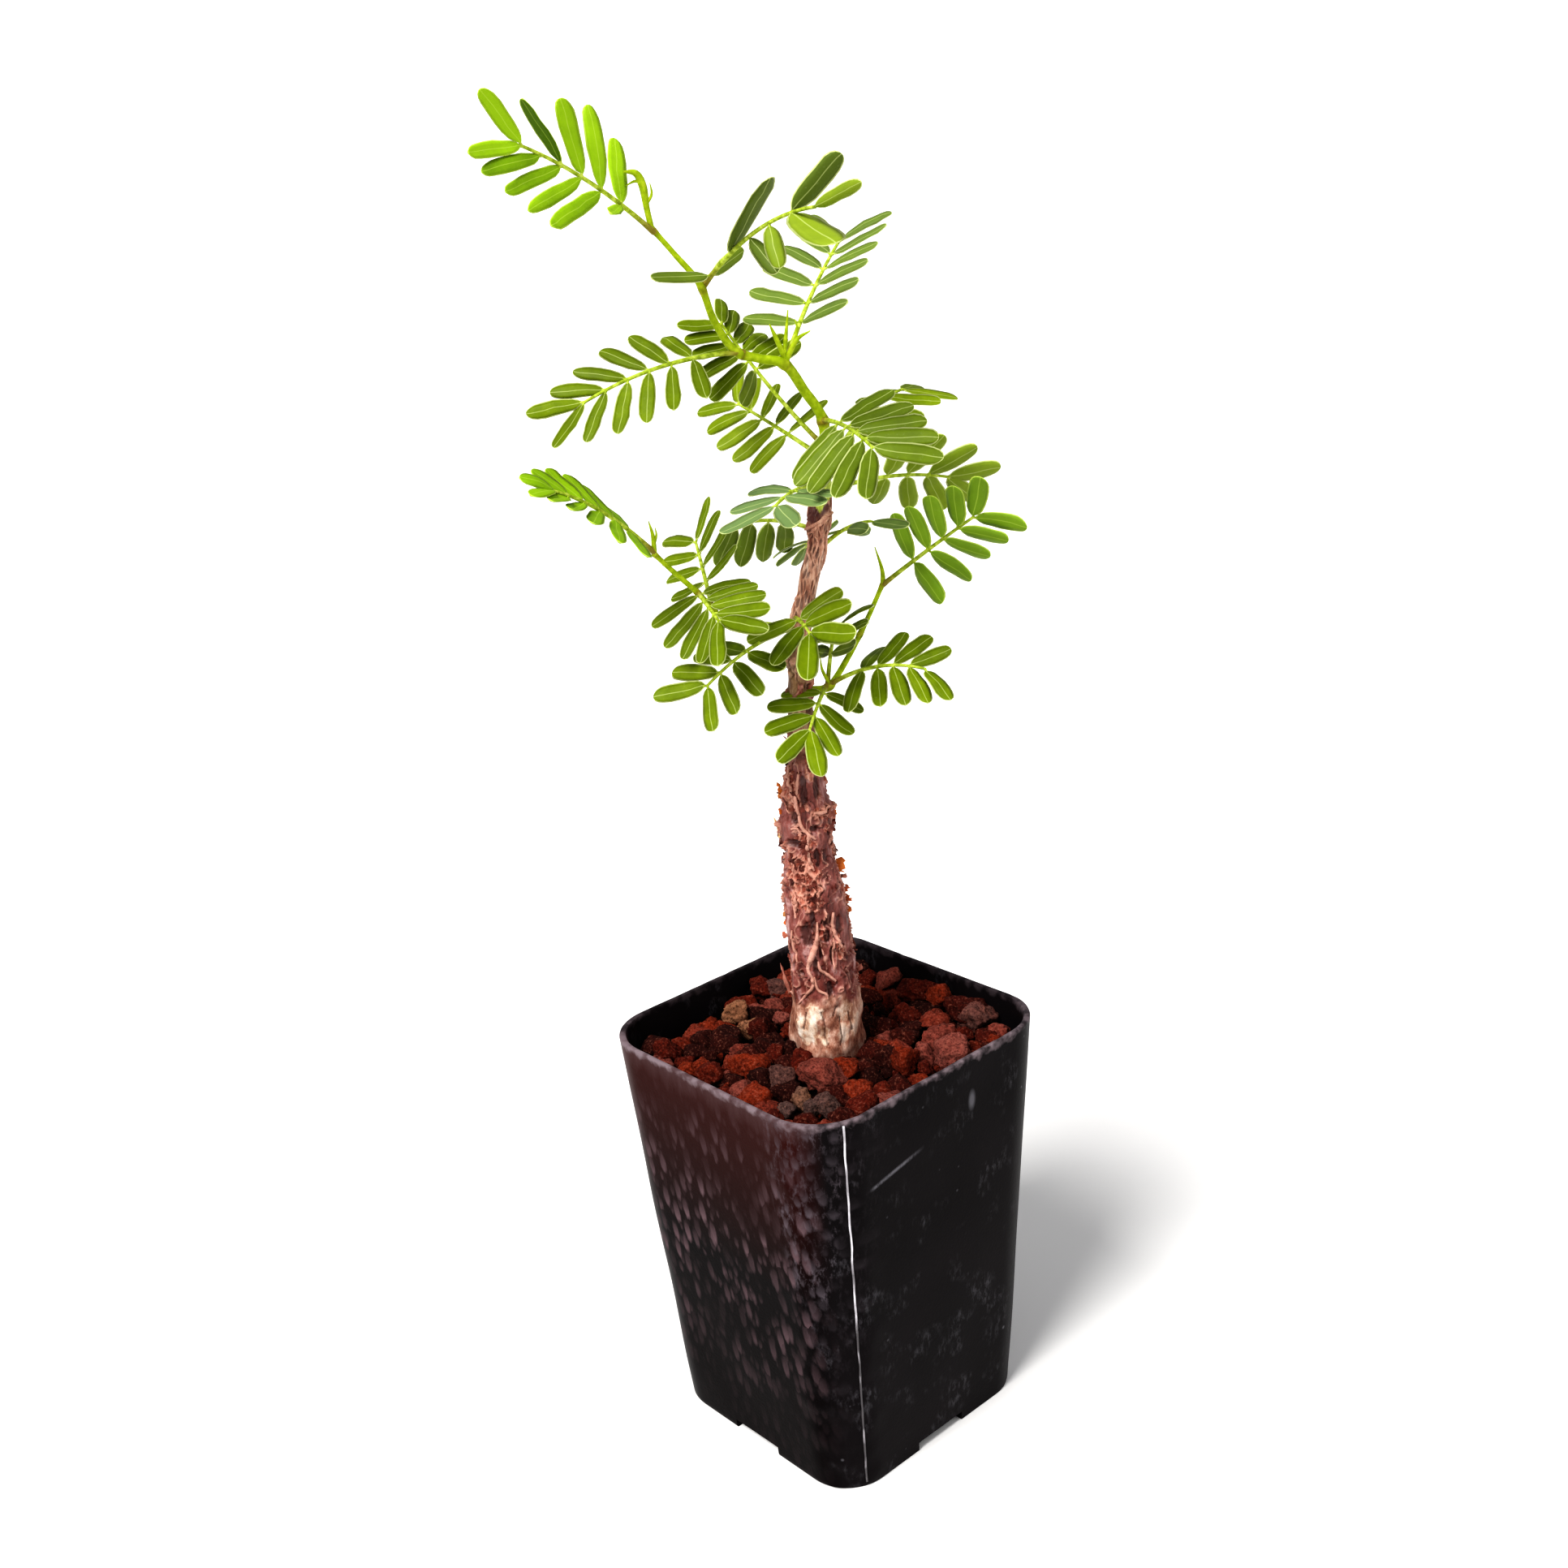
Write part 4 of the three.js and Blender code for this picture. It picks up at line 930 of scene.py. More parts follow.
def flake(name, seed):
    """A scrap of dead bark one metre long, rooted at its foot, that curls outwards and ends ragged."""
    chance = random.Random(seed)
    curl, cup = chance.uniform(0.15, 0.6), chance.uniform(-0.9, 0.9)
    rings = []
    for k in range(8):
        t = k / 7
        wide = (0.34 + 0.16 * chance.uniform(-1, 1)) * (1 - 0.55 * t ** 3) * (0.15 if k == 7 else 1)
        lean = 0.12 * math.sin(3 * t + seed) + 0.08 * chance.uniform(-1, 1)
        ring = []
        for s in range(8):
            c, d = math.cos(2 * math.pi * s / 8), math.sin(2 * math.pi * s / 8)
            across = wide * c
            away = curl * t ** 2 + cup * across ** 2 + 0.035 * d
            ring.append(Vector((across + lean, -away, t + 0.06 * c * chance.uniform(-1, 1))) / MM)
        rings.append(ring)
    return solid_of(name, *loft(rings), bend=60)


# Flakes that break the outline: angle round the trunk, height, length and width in mm, lean outwards, tone.
EDGE_FLAKES = [
    (0, 49, 2.8, 1.8, 0.1, 0.75), (0.05, 45.8, 1.3, 1.2, 0.5, 0.2), (0.05, 37.4, 3, 3.6, 0.2, 0.62),
    (-0.1, 36, 2.4, 2, 1.1, 0.45), (0, 33.2, 1.8, 2, 0.5, 0.5), (0.05, 31, 1.8, 1.8, 0.4, 0.55),
    (0, 28.8, 2.6, 2.4, 0.4, 0.62), (0.05, 20.4, 4.2, 2.4, 0.15, 0.36), (-0.1, 16, 2.4, 1.8, 0.3, 0.3),
    (LEFT, 53.4, 3.2, 1.6, 0.1, 0.7), (LEFT, 45.4, 4.2, 1.2, 0.05, 0.85), (LEFT, 43.4, 1.6, 1.4, 0.4, 0.15),
    (LEFT + 0.1, 29.2, 1.2, 1.2, 0.5, 0.75), (LEFT, 27.4, 1.1, 1.2, 0.4, 0.55),
    (LEFT, 21.6, 1.8, 1.3, 0.3, 0.3), (LEFT, 19.2, 2, 1.3, 0.3, 0.26), (LEFT, 12.6, 6.4, 1, 0, 0.36),
    (0.02, 40.6, 1.4, 1.3, 0.3, 0.5), (LEFT - 0.05, 34.2, 1.6, 1.3, 0.2, 0.4),
    (0.05, 26, 1.6, 1.4, 0.2, 0.45), (LEFT, 50, 1.4, 1.1, 0.3, 0.6), (0, 56, 1.6, 1.1, 0.2, 0.5),
    (LEFT, 24.6, 1.4, 1.3, 0.3, 0.5)]

# Dry dead bark, dull and fibrous, that lets a little light through at its thin edges.
scrap_bark, tree, shader, where = new_finish("dry_bark_flakes")
scrap_colour = shades(tree, varied(tree, painted(tree, "tone"), clouds(tree, where, 900, 4), 0.4), [
    (0.05, "#4a1a12"), (0.2, "#7b4034"), (0.36, "#ab7463"), (0.49, "#b85a2c"), (0.62, "#cf7a36"),
    (0.85, "#e0c08a")])
feed(shader, {"Base Color": scrap_colour, "Roughness": 0.85, "IOR": 1.45, "Subsurface Weight": 0.15,
              "Subsurface Radius": (0.0012, 0.0005, 0.0003)})
FLAKE_SHAPES, FLAKES = 5, 130
scrap_pool = pool_of("scraps", (flake(f"scrap_{i}", 5 + i) for i in range(FLAKE_SHAPES)))
# Each has an angle, height, length, width, lean outwards, swing sideways, tone and turn about its length.
spots = []
for a, z_mm, tall, wide, tilt, tone_of in EDGE_FLAKES:
    spots.append((a, z_mm, 0.85 * tall, wide, tilt, 0.35 * math.sin(9 * z_mm), tone_of - 0.06, 1.2 * math.cos(a)))
chance = random.Random(21)
while len(spots) < FLAKES:
    a, z_mm = chance.uniform(-math.pi, math.pi), chance.gauss(40, 15)
    if 15 < z_mm < 84 and (bark_at(a, z_mm)[1] > 0.5 or chance.random() < 0.05):
        tall = chance.uniform(0.8, 2)
        spots.append((a, z_mm, tall, tall * chance.uniform(0.9, 1.5), chance.uniform(-0.05, 0.2),
                      chance.uniform(-1, 1) + math.pi * (chance.random() < 0.4), chance.uniform(0.05, 0.28),
                      chance.uniform(-0.5, 0.5)))
places, turns, sizes = [], [], []
for a, z_mm, tall, wide, tilt, swing, _, spin in spots:
    places.append(planted(on_trunk(a, z_mm, 0.05 * wide if abs(spin) > 1 else -0.12)))
    facing = Matrix.Rotation(PLANT_TURN + a + math.pi / 2 + spin, 3, "Z")
    turns.append((facing @ Matrix.Rotation(swing, 3, "Y") @ Matrix.Rotation(tilt, 3, "X")).to_euler())
    sizes.append((wide * MM, tall * MM, tall * MM))
start = points_of("scraps", places, turn=[tuple(t) for t in turns], size=sizes, tone=[s[6] for s in spots],
                  shape=[i % FLAKE_SHAPES for i in range(len(spots))])
flakes = grown("bark_flakes", start, strewn("flaking"), Shapes=scrap_pool, Finish=scrap_bark)
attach(flakes, "root")
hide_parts("trunk")

# ---- Green stems -----------------------------------------------------------------------------------------
# This year's growth: lime green shoots, slightly zigzag, swollen and browner at each node where a leaf stands,
# downy, with a pointed bud or a pair of thin stipules at their ends. Points are in the plant's frame, with the
# radius; nodes are where leaves stand.
STEMS = {
    "main_shoot": dict(
        route=[(7.3, 0, 114, 1.1), (7.8, 0, 122.6, 0.92), (4.7, -2, 128.7, 0.86), (1.7, -5, 133.6, 0.84),
               (-2.6, -6.5, 135.1, 0.78), (-6.6, -8, 136.9, 0.72), (-9.6, -10, 142.2, 0.62),
               (-11.4, -12, 148.4, 0.56), (-14.9, -13, 153.3, 0.46), (-18.3, -14, 157.8, 0.42)],
        nodes=[(7.8, 0, 122.8), (1.7, -5, 133.7), (-5.4, -7.6, 136.4), (-11.1, -11.7, 147.6),
               (-18.1, -14, 157.4)],
        buds=[[(-18.3, -14, 157.4, 0.5), (-18.8, -14, 161, 0.5), (-19.1, -14.1, 164.4, 0.66),
               (-20, -14.4, 166.4, 0.55), (-21.9, -15, 166.8, 0.16)],
              [(2, -5, 134.2, 0.5), (0.6, -6, 138, 0.42), (-0.4, -6.5, 140.6, 0.1)],
              [(2, -5, 134.2, 0.5), (4, -6, 137.6, 0.4), (6.4, -6.5, 139, 0.1)],
              [(1.6, -5, 134, 0.45), (2.2, -5.4, 138, 0.35), (2.9, -5.6, 142.6, 0.1)],
              [(3.6, -5.7, 136.8, 0.3), (4.2, -5.9, 139.4, 0.2), (3.9, -6, 141, 0.06)],
              [(-18.9, -14, 161.5, 0.3), (-17.8, -14.2, 163, 0.22), (-17.9, -14.4, 164.8, 0.06)],
              [(-19.2, -14.2, 165, 0.3), (-20.4, -14.2, 165.2, 0.22), (-21.8, -14.6, 164.6, 0.06)]]),
    "left_branch": dict(
        route=[(0.6, 0, 86, 0.56), (-7, -1, 87.6, 0.52), (-12.4, -2, 89.2, 0.5), (-16.9, -5, 95.3, 0.5),
               (-20.5, -6.5, 99.5, 0.46), (-23.6, -8, 103.4, 0.42)],
        nodes=[(-14.4, -3.3, 91.8), (-16.7, -4.9, 95), (-23.5, -8, 103.2)],
        buds=[[(-23.5, -8, 103, 0.5), (-23.4, -8.2, 106.4, 0.36), (-23.9, -8.4, 109.2, 0.08)],
              [(-23.4, -8.1, 105, 0.3), (-22.8, -8.2, 106.6, 0.2), (-22.9, -8.3, 108, 0.06)]]),
    "right_branch": dict(
        route=[(0.2, 0, 74.1, 0.72), (5.1, 0.5, 73.9, 0.66), (6.9, 1, 75.4, 0.6), (10.5, 3, 80.2, 0.52),
               (13.9, 5, 85.6, 0.46), (17, 6, 91.4, 0.42)],
        nodes=[(5.6, 0.6, 74.4), (12.1, 3.9, 82.8), (17, 6, 91.2)],
        buds=[[(17, 6, 91, 0.5), (17, 6, 94, 0.36), (15.9, 6, 98.4, 0.08)],
              [(5.8, 0.6, 74.6, 0.4), (4.6, 0.4, 77.5, 0.26), (4.4, 0.2, 80, 0.07)]]),
}

# Young green stem: a thin waxy skin over juicy tissue, IOR about 1.4, with brown at the nodes and fine streaks.
shoot, tree, shader, where = new_finish("green_shoot_skin")
streak = clouds(tree, where, 900, 4)
lime = shades(tree, streak, [(0.3, "#8b9f12"), (0.48, "#9bb018"), (0.66, "#b0c12c")])
knot = shades(tree, streak, [(0.38, "#5c3d16"), (0.62, "#9a7434")])
feed(shader, {"Base Color": blend(tree, painted(tree, "woody"), lime, knot), "Roughness": 0.48, "IOR": 1.4,
              "Specular IOR Level": 0.14})
shoot_cords = cord_kit("shoot", 12)
for name, made in STEMS.items():
    shoot_line, woods = [], []
    for row in smooth_line(made["route"], 0.5):
        place = Vector(row[:3])
        gap = min((place - Vector(n)).length for n in made["nodes"])
        swell = 1 + 0.28 * math.exp(-(gap / 0.9) ** 2) + 0.05 * noise.noise(place / 0.8)
        shoot_line.append((*planted(place), row[3] * swell))
        woods.append(0.75 * math.exp(-(gap / 0.8) ** 2) * max(0, 0.6 + noise.noise(place / 0.5)))
    bud_lines = [[(*planted(r[:3]), r[3]) for r in smooth_line(bud, 0.4)] for bud in made["buds"]]
    woods += [0.12 * (k % 3 == 0) for line in bud_lines for k in range(len(line))]
    start = chains_of(name, [shoot_line, *bud_lines])
    mark(start, woody=woods)
    stem = grown(f"{name}_skin", start, shoot_cords, Finish=shoot)
    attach(stem, "root")
    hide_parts(name)

# ---- Leaves ----------------------------------------------------------------------------------------------
# Feathery leaves, each a thin stalk with two to six pairs of oblong leaflets and none at its tip.
# A leaf goes from start to end, arched up by rise; roll turns its upper face about the stalk, with a twist more
# at the first pair; petiole is the bare share. leaflet and splay give the leaflets' length and their angle to
# the stalk at the first and last pair; fold lifts them, tilt turns them about their length, and turned adds to
# that on the one side and on the other. Pairs count from 1, with a minus for the other side; lost ones have
# dropped. tone is the colour, from an old leaf's olive to a new one's lime, broad a factor on the leaflets'
# width, and bloom a pale waxy cast. own gives single leaflets more splay, more tilt, a factor on their length
# and on their width, and their tone. A young or a fresh leaf takes the bright young finish.
LEAVES = [
    dict(name="leaf_crown", start=(-18, -14, 157.2), end=(-36.1, -30.3, 171.9), rise=1.3, roll=-94, twist=49,
         petiole=0.25, pairs=6, leaflet=(12, 10.7), splay=(59, 26), fold=10, lost=(5,), tone=0.95, broad=0.85,
         young=True,
         own={1: (26, 0, 1.15, 1.1, 0.9), 2: (3, 0, 1.08, 1.15, 1), 3: (0, 0, 1.1, 1.2, 0.95),
              4: (-9, -60, 1.15, 0.9, -0.3), -1: (0, 0, 1.05, 0.8, 0.95), -2: (0, 0, 1.4, 0.9, 0.65),
              -3: (0, 0, 1.1, 0.88, 0.7), -4: (0, 0, 1.05, 0.88, 0.65), -5: (0, 0, 1.1, 0.88, 0.6)}),
    dict(name="leaf_front_top", start=(-10.8, -11, 148), end=(7.2, -42, 160.2), rise=2.5, roll=-117,
         twist=130, petiole=0.08, pairs=6, leaflet=(8.1, 10.8), splay=(87, 22), fold=14, tilt=-50,
         lost=(3, 4, -2, -6), tone=0.5,
         own={1: (0, 55, 1.5, 0.9, 0.3), 2: (-63, 30, 2.2, 1.2, -0.3), 5: (20, 25, 1.15, 1.15, -0.3),
              6: (0, 0, 1, 0.7, 0.8), -3: (0, 0, 1, 1, -0.2), -4: (26, 0, 0.8, 1.15, 0.7),
              -5: (-10, 0, 1.4, 1.7, 0.9)}),
    dict(name="leaf_back_top", start=(1.7, -4.4, 133.4), end=(13.4, 15, 152), rise=1.4, roll=0, twist=-10,
         petiole=0.28, pairs=6, leaflet=(11.6, 10.4), splay=(86, 54), fold=12, turned=(15, -10), tone=0.45,
         broad=0.92, bloom=0.3),
    dict(name="leaf_left", start=(-5, -7.6, 136.4), end=(-32, -19.5, 131.6), rise=1.9, roll=-42, twist=15,
         petiole=0.32, pairs=6, leaflet=(10.2, 9.8), splay=(82, 26), fold=-9, tone=0.45, broad=0.9),
    dict(name="leaf_behind_shoot", start=(7.4, 0.6, 118.6), end=(-8.8, 5.5, 140.4), rise=-1, roll=-28,
         twist=-80, petiole=0.66, pairs=6, leaflet=(10, 7.8), splay=(103, 57), fold=-20, tone=0.45),
    dict(name="leaf_low_left", start=(7.2, 0.8, 116.4), end=(-7, 18.5, 124.4), rise=0.2, roll=-38, twist=0,
         petiole=0.4, pairs=5, leaflet=(9.8, 9.4), splay=(84, 38), fold=-10, turned=(4, -30), tone=0.65),
    dict(name="leaf_fan", start=(7.8, -0.4, 123), end=(14.7, -23.4, 121.3), rise=1.1, roll=24, twist=10,
         petiole=0.33, pairs=5, leaflet=(12.6, 13), splay=(103, 34), fold=-15, turned=(-20, 18), tone=0.42,
         broad=1.04, bloom=0.08),
    dict(name="leaf_back_right", start=(7.6, 0.6, 113.6), end=(22.8, 9.4, 125.9), rise=2.6, roll=6, twist=30,
         petiole=0.37, pairs=4, leaflet=(10.8, 10), splay=(76, 37), fold=-24, turned=(30, 0), lost=(-1,),
         tone=0.55),
    dict(name="leaf_right", start=(6.9, 0.6, 110), end=(30.6, 12, 109), rise=1.5, roll=-55, twist=12,
         petiole=0.5, pairs=4, leaflet=(9.6, 11.2), splay=(87, 24), fold=1, tone=0.85, broad=1.2),
    dict(name="leaf_low_right", start=(17, 6, 91.2), end=(33.4, -2, 104.2), rise=0.2, roll=-66, twist=-35,
         petiole=0.34, pairs=5, leaflet=(9.8, 9.6), splay=(77, 42), fold=-12, tone=0.5, broad=1.3, fresh=True),
    dict(name="leaf_pale", start=(6.2, -0.8, 111.6), end=(-1.8, -16.5, 111.7), rise=1.1, roll=7, twist=-8,
         petiole=0.58, pairs=3, leaflet=(8.5, 11.8), splay=(88, 38), fold=-2, tone=0.55, broad=1.15,
         bloom=0.75),
    dict(name="leaf_hanging", start=(5.4, 1, 103.2), end=(-9.3, 8.2, 103.9), rise=1.4, roll=68, twist=-16,
         petiole=0.37, pairs=4, leaflet=(10.9, 11.1), splay=(73, 43), fold=5, lost=(-1, -2, -3, -4),
         tone=0.45, broad=1.08),
    dict(name="leaf_left_tip", start=(-23.5, -8, 103.6), end=(-38, -23, 118.3), rise=1.6, roll=-36, twist=8,
         petiole=0.25, pairs=6, leaflet=(10, 6.8), splay=(78, 19), fold=-2, tone=0.7, broad=1.05, young=True),
    dict(name="leaf_mid_left", start=(-14.4, -3.2, 91.6), end=(-16.8, 10.5, 101), rise=0.3, roll=-48, twist=0,
         petiole=0.36, pairs=4, leaflet=(9, 9.6), splay=(80, 44), fold=4, turned=(8, 0), tone=0.45),
    dict(name="leaf_behind_trunk", start=(4.9, 0.8, 100.4), end=(3.6, 14, 97.7), rise=1.2, roll=-30, twist=16,
         petiole=0.4, pairs=3, leaflet=(7.7, 9.4), splay=(98, 14), fold=-1, tone=0.4, bloom=0.3),
    dict(name="leaf_thin_right", start=(5, 0.8, 99.2), end=(15.2, 1, 104.2), rise=1.3, roll=-14, twist=0,
         petiole=0.58, pairs=2, leaflet=(9.4, 9.8), splay=(71, 52), fold=-14, turned=(45, -30), lost=(-2,),
         tone=0.5, bloom=0.5),
    dict(name="leaf_fan_left", start=(-16.6, -4.8, 95), end=(-13.1, -16, 92.5), rise=0, roll=34, twist=-15,
         petiole=0.06, pairs=5, leaflet=(10, 11.5), splay=(92, 28), fold=-12, tone=0.45),
    dict(name="leaf_low_left_front", start=(0.6, -0.8, 86.2), end=(-16.4, -12.6, 79.8), rise=1.7, roll=-17,
         twist=13, petiole=0.56, pairs=4, leaflet=(9.5, 10.2), splay=(90, 50), fold=-8, tone=0.5, broad=1.1),
    dict(name="leaf_front_fan", start=(0.4, -0.8, 88), end=(2.5, -10.6, 87.6), rise=0.4, roll=35, twist=-13,
         petiole=0.26, pairs=3, leaflet=(9.8, 11.8), splay=(87, 35), fold=8, turned=(-25, 25), tone=0.58,
         broad=1.12,
         own={2: (-10, 0, 1.05, 1, 0.5), 3: (-14, 0, 1.3, 1, 0.58), -2: (-16, 0, 1.1, 1, 0.55),
              -3: (-9, 0, 1.15, 1, 0.55)}),
    dict(name="leaf_bottom", start=(5.1, 0.2, 74.4), end=(1.2, -15.4, 71.2), rise=0.5, roll=-23, twist=10,
         petiole=0.2, pairs=4, leaflet=(8.2, 10.6), splay=(94, 22), fold=-16, tone=0.52, broad=1.12),
    dict(name="leaf_right_bottom", start=(6, 0.6, 74.6), end=(22.8, -9.6, 79), rise=1.9, roll=34, twist=-16,
         petiole=0.34, pairs=5, leaflet=(11, 8), splay=(91, 30), fold=-10, lost=(-5,), tone=0.5, broad=1.08),
    dict(name="leaf_behind_fan", start=(5.4, 0.6, 74.4), end=(8, 5.6, 84), rise=1.7, roll=-31, twist=-12,
         petiole=0.4, pairs=3, leaflet=(10.2, 9.2), splay=(84, 77), fold=-2, tone=0.35),
]
STALK_STEPS = 25
LAST_PAIR = 0.985  # how far along the stalk it stands
TILT = 16  # degrees that leaflets are turned unless their leaf says otherwise
STALKLET = ((0, 0.24), (0.45, 0.22), (0.9, 0.15))  # a leaflet's own stalk: distance along and radius
STALKLET_BARE = 0.35  # the blade starts here
BLADE, BLADE_WIDTH = 10.0, 2.8  # the leaflet is drawn this long and this wide
# Its shapes: how much each is cupped across and arched along.
BLADES = [(0.05, 0.1), (-0.06, 0.35), (0.1, -0.2), (-0.1, 0.7)]
BLADE_OUTLINE = [
    (0.03, 0.22), (0.08, 0.5), (0.17, 0.76), (0.32, 0.92), (0.5, 1), (0.68, 1), (0.82, 0.93), (0.91, 0.78),
    (0.965, 0.55), (0.992, 0.28)]


def blade(name, cup, arch):
    """A leaflet: a thin oblong blade, creased along its midrib, cupped across and arched along."""
    # Round each section: the share of the half width, and whether it is on the underside.
    section = ((-1, 0), (-0.5, 0), (0, 0), (0.5, 0), (1, 0), (0.5, 1), (0, 1), (-0.5, 1))
    around = len(section)
    points, looks = [Vector((0, 0, 0))], [(0, 0)]
    for t, w in BLADE_OUTLINE:
        half = w * BLADE_WIDTH / 2
        for c, under in section:
            thick = 0.13 if c == 0 else 0.11 if abs(c) < 1 else 0  # the edge is sharp
            crease = -0.1 * w * (1 - abs(c))
            z = cup * (half * c) ** 2 + crease + arch * (t - t * t) * 4 - 0.5 * arch * t
            points.append(Vector((t * BLADE, half * c, z + (-1.5 * thick if under else thick))))
            looks.append((c, half))
    points.append(Vector((BLADE, 0, -0.5 * arch)))
    looks.append((0, 0))
    faces = []
    last = len(points) - 1
    for s in range(around):
        faces.append((0, 1 + s, 1 + (s + 1) % around))
        faces.append((last, last - around + (s + 1) % around, last - around + s))
    for r in range(len(BLADE_OUTLINE) - 1):
        for s in range(around):
            a, b = 1 + around * r + s, 1 + around * r + (s + 1) % around
            faces.append((a, a + around, b + around, b))
    piece = solid_of(name, points, faces)
    across, half = zip(*looks)
    mark(piece.data, across=across, half=half)
    # A face is on the underside if it has a point there or spans both edges.
    under = []
    for face in faces:
        places = [(v - 1) % around for v in face if 0 < v < last]
        under.append(1.0 if max(places) >= 5 or (4 in places and 0 in places) else 0.0)
    piece.data.attributes.new("under", "FLOAT", "FACE").data.foreach_set("value", under)
    return piece


def leaf_kit():
    """A geometry tree that grows a leaf from its start mesh: chains are stalks, lone points are leaflets."""
    kit, given = new_kit("leaf", Shapes="Collection", Finish="Material", Stalk="Material")
    stalky = add(kit, "FunctionNodeCompare", {"A": carried(kit, "thick"), "B": 0.0}, data_type="FLOAT",
                 operation="GREATER_THAN")
    split = add(kit, "GeometryNodeSeparateGeometry", {
        "Geometry": given.outputs["Geometry"], "Selection": stalky}, domain="POINT")
    stalks = coated(kit, cords_along(kit, split.outputs["Selection"], 8), given.outputs["Stalk"])
    flat = shapes_on(kit, split.outputs["Inverted"], given.outputs["Shapes"])
    # No leaflet is quite flat: a slow ripple moves the blades a little.
    ripple = clouds(kit, add(kit, "GeometryNodeInputPosition"), 260, 1).outputs["Color"]
    centred = add(kit, "ShaderNodeVectorMath", {0: ripple, 1: (0.5, 0.5, 0.5)}, operation="SUBTRACT")
    small = add(kit, "ShaderNodeVectorMath", {0: centred, "Scale": 0.0007}, operation="SCALE")
    rippled = add(kit, "GeometryNodeSetPosition", {"Geometry": flat, "Offset": small})
    leaf = add(kit, "GeometryNodeJoinGeometry", {0: coated(kit, rippled, given.outputs["Finish"])})
    kit.links.new(stalks.outputs[0], leaf.inputs[0])
    add(kit, "NodeGroupOutput", {0: leaf})
    return kit


def leaf_finish(name, dark, middle, light, rim_colour):
    """Leaflet skin: waxy and satin, greener above than below, with a pale midrib and a yellow-green margin,
    painted paler as a highlight.
    """
    finish, tree, shader, where = new_finish(name)
    mottled = varied(tree, painted(tree, "tone"), clouds(tree, where, 380, 4, 0.6), 0.5)
    top = shades(tree, mottled, [(0, dark), (0.5, middle), (1, light)])
    below = blend(tree, 0.35, top, "#7d9243")
    half = painted(tree, "half")
    off = maths(tree, "MULTIPLY", maths(tree, "ABSOLUTE", painted(tree, "across")), half)
    rib = span(tree, off, 0.09, 0.02, 0, 0.34)
    # The margin's paleness is partly its own yellow-green, partly a painted highlight along the thin edge.
    margin_and_highlight = span(tree, maths(tree, "SUBTRACT", half, off), 0.22, 0.11, 0, 0.78)
    dust = span(tree, clouds(tree, where, 1500, 4, 0.7), 0.62, 0.78, 0, 0.12)
    colour = top
    for mask, over in ((painted(tree, "under"), below), (painted(tree, "bloom"), "#748a60"), (rib, rim_colour),
                       (margin_and_highlight, rim_colour), (dust, "#dfe6c8")):
        colour = blend(tree, mask, colour, over)
    feed(shader, {"Base Color": colour, "Roughness": 0.5, "IOR": 1.42, "Specular IOR Level": 0.16})
    return finish


mature = leaf_finish("mature_leaflet_skin", "#424e01", "#697b07", "#93a41a", "#e4eca4")
bright = leaf_finish("young_leaflet_skin", "#54720a", "#789a10", "#98bb1a", "#cbe068")
# The stalks are green too, and corky brown where they leave the stem.
stalk_skin, tree, shader, where = new_finish("leaf_stalk_skin")
stalk_green = shades(tree, clouds(tree, where, 1100, 3), [
    (0.36, "#879824"), (0.5, "#a6b836"), (0.66, "#c3d05e")])
feed(shader, {"Base Color": blend(tree, painted(tree, "woody"), stalk_green, "#80662a"), "Roughness": 0.45,
              "IOR": 1.4, "Specular IOR Level": 0.25})

blade_pool = pool_of("blades", (blade(f"blade_{i}", cup, arch) for i, (cup, arch) in enumerate(BLADES)))
leaf_tree = leaf_kit()


def sway(leaf_number, i, side):
    """A small repeatable swing between -1 and 1 for one leaflet of a leaf."""
    return math.sin(leaf_number * 2.4 + i * 5.1 + side * 1.7)


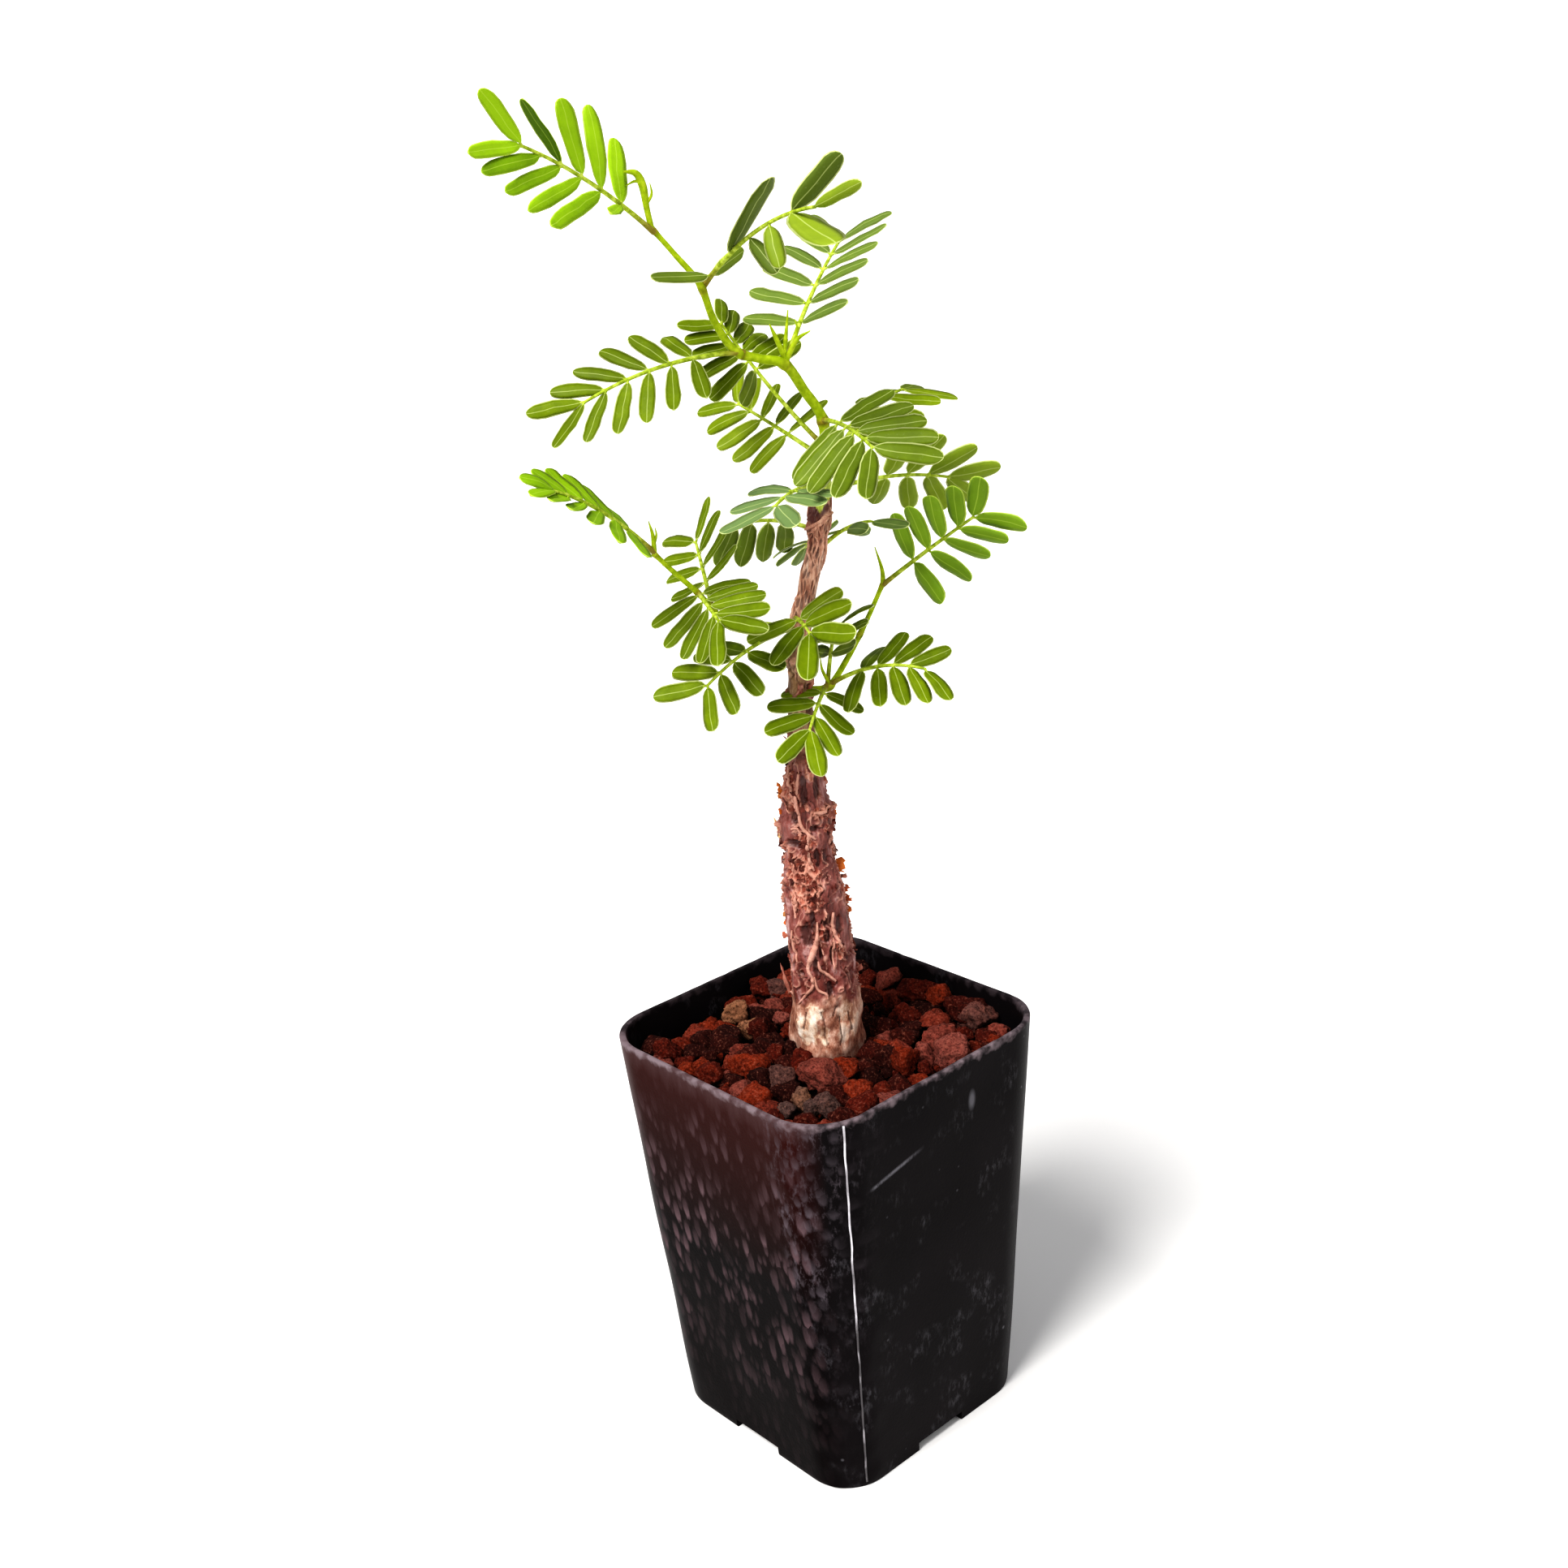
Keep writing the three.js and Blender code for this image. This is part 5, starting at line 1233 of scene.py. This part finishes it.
for number, made in enumerate(LEAVES):
    begin, end = Vector(made["start"]), Vector(made["end"])
    crown = (begin + end) / 2 + Vector((0, 0, 2 * made["rise"]))

    def stalk_at(t):
        """The place on the stalk a share t along it, and the direction there."""
        return ((1 - t) ** 2 * begin + 2 * t * (1 - t) * crown + t * t * end,
                ((1 - t) * (crown - begin) + t * (end - crown)).normalized())

    lines = [[(*planted(stalk_at(t)[0]), 0.46 - 0.2 * t + 0.1 * math.exp(-(t / 0.05) ** 2))
              for t in (i / STALK_STEPS for i in range(STALK_STEPS + 1))]]
    leaflets = []
    fold = math.radians(made["fold"])
    for i in range(made["pairs"]):
        k = i / (made["pairs"] - 1)
        at, ahead = stalk_at(made["petiole"] + (LAST_PAIR - made["petiole"]) * k)
        up = (Vector((0, 0, 1)) - ahead * ahead.z).normalized()
        up.rotate(Matrix.Rotation(math.radians(made["roll"] + made["twist"] * (1 - k) ** 4), 3, ahead))
        across = ahead.cross(up)
        for side in (1, -1):
            pair = side * (i + 1)
            if pair in made.get("lost", ()):
                continue
            swing = sway(number, i, side)
            more_splay, more_tilt, longer, wider, tone = made.get("own", {}).get(pair, (0, 0, 1, 1, made["tone"]))
            long = (made["leaflet"][0] * (1 - k) + made["leaflet"][1] * k) * (1 + 0.05 * swing) * longer
            wide = (1.9 + 0.11 * long) * made.get("broad", 1) * wider
            splay = math.radians(made["splay"][0] * (1 - k) + made["splay"][1] * k + 3 * swing + more_splay)
            outward = across * side * math.cos(fold) + up * math.sin(fold)
            axis = ahead * math.cos(splay) + outward * math.sin(splay)
            face = (up - axis * up.dot(axis)).normalized()
            tilt = 4 * sway(number, i + 3, side) - side * made.get("tilt", TILT) + more_tilt
            tilt += made.get("turned", (0, 0))[side < 0]
            face.rotate(Matrix.Rotation(math.radians(tilt), 3, axis))
            turn = (TURNED @ Matrix((axis, face.cross(axis), face)).transposed()).to_euler()
            lines.append([(*planted(at + axis * d), r) for d, r in STALKLET])
            leaflets.append((planted(at + axis * STALKLET_BARE), tuple(turn),
                             ((long - STALKLET_BARE) / BLADE, wide / BLADE_WIDTH, 1),
                             tone + 0.08 * sway(number, i + 1, side), int(7 * abs(swing)) % len(BLADES)))
    places, turns, sizes, tones, shapes = zip(*leaflets)
    start = chains_of(made["name"], lines, places)
    count = len(start.vertices) - len(places)
    cork = [0.8 * fade(i / STALK_STEPS, 0.2, 0.02) for i in range(STALK_STEPS + 1)]
    mark(start, tone=[0.5] * count + [*tones], shape=[0] * count + [*shapes],
         turn=[(0, 0, 0)] * count + [*turns], size=[(0, 0, 0)] * count + [*sizes],
         woody=cork + [0] * (len(start.vertices) - len(cork)),
         bloom=[made.get("bloom", 0)] * len(start.vertices))
    is_young = made.get("young", False)
    leaf = grown(made["name"] + "_leaflets", start, leaf_tree, Shapes=blade_pool, Stalk=stalk_skin,
                 Finish=bright if is_young or made.get("fresh") else mature)
    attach(leaf, "root")
    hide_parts(made["name"])
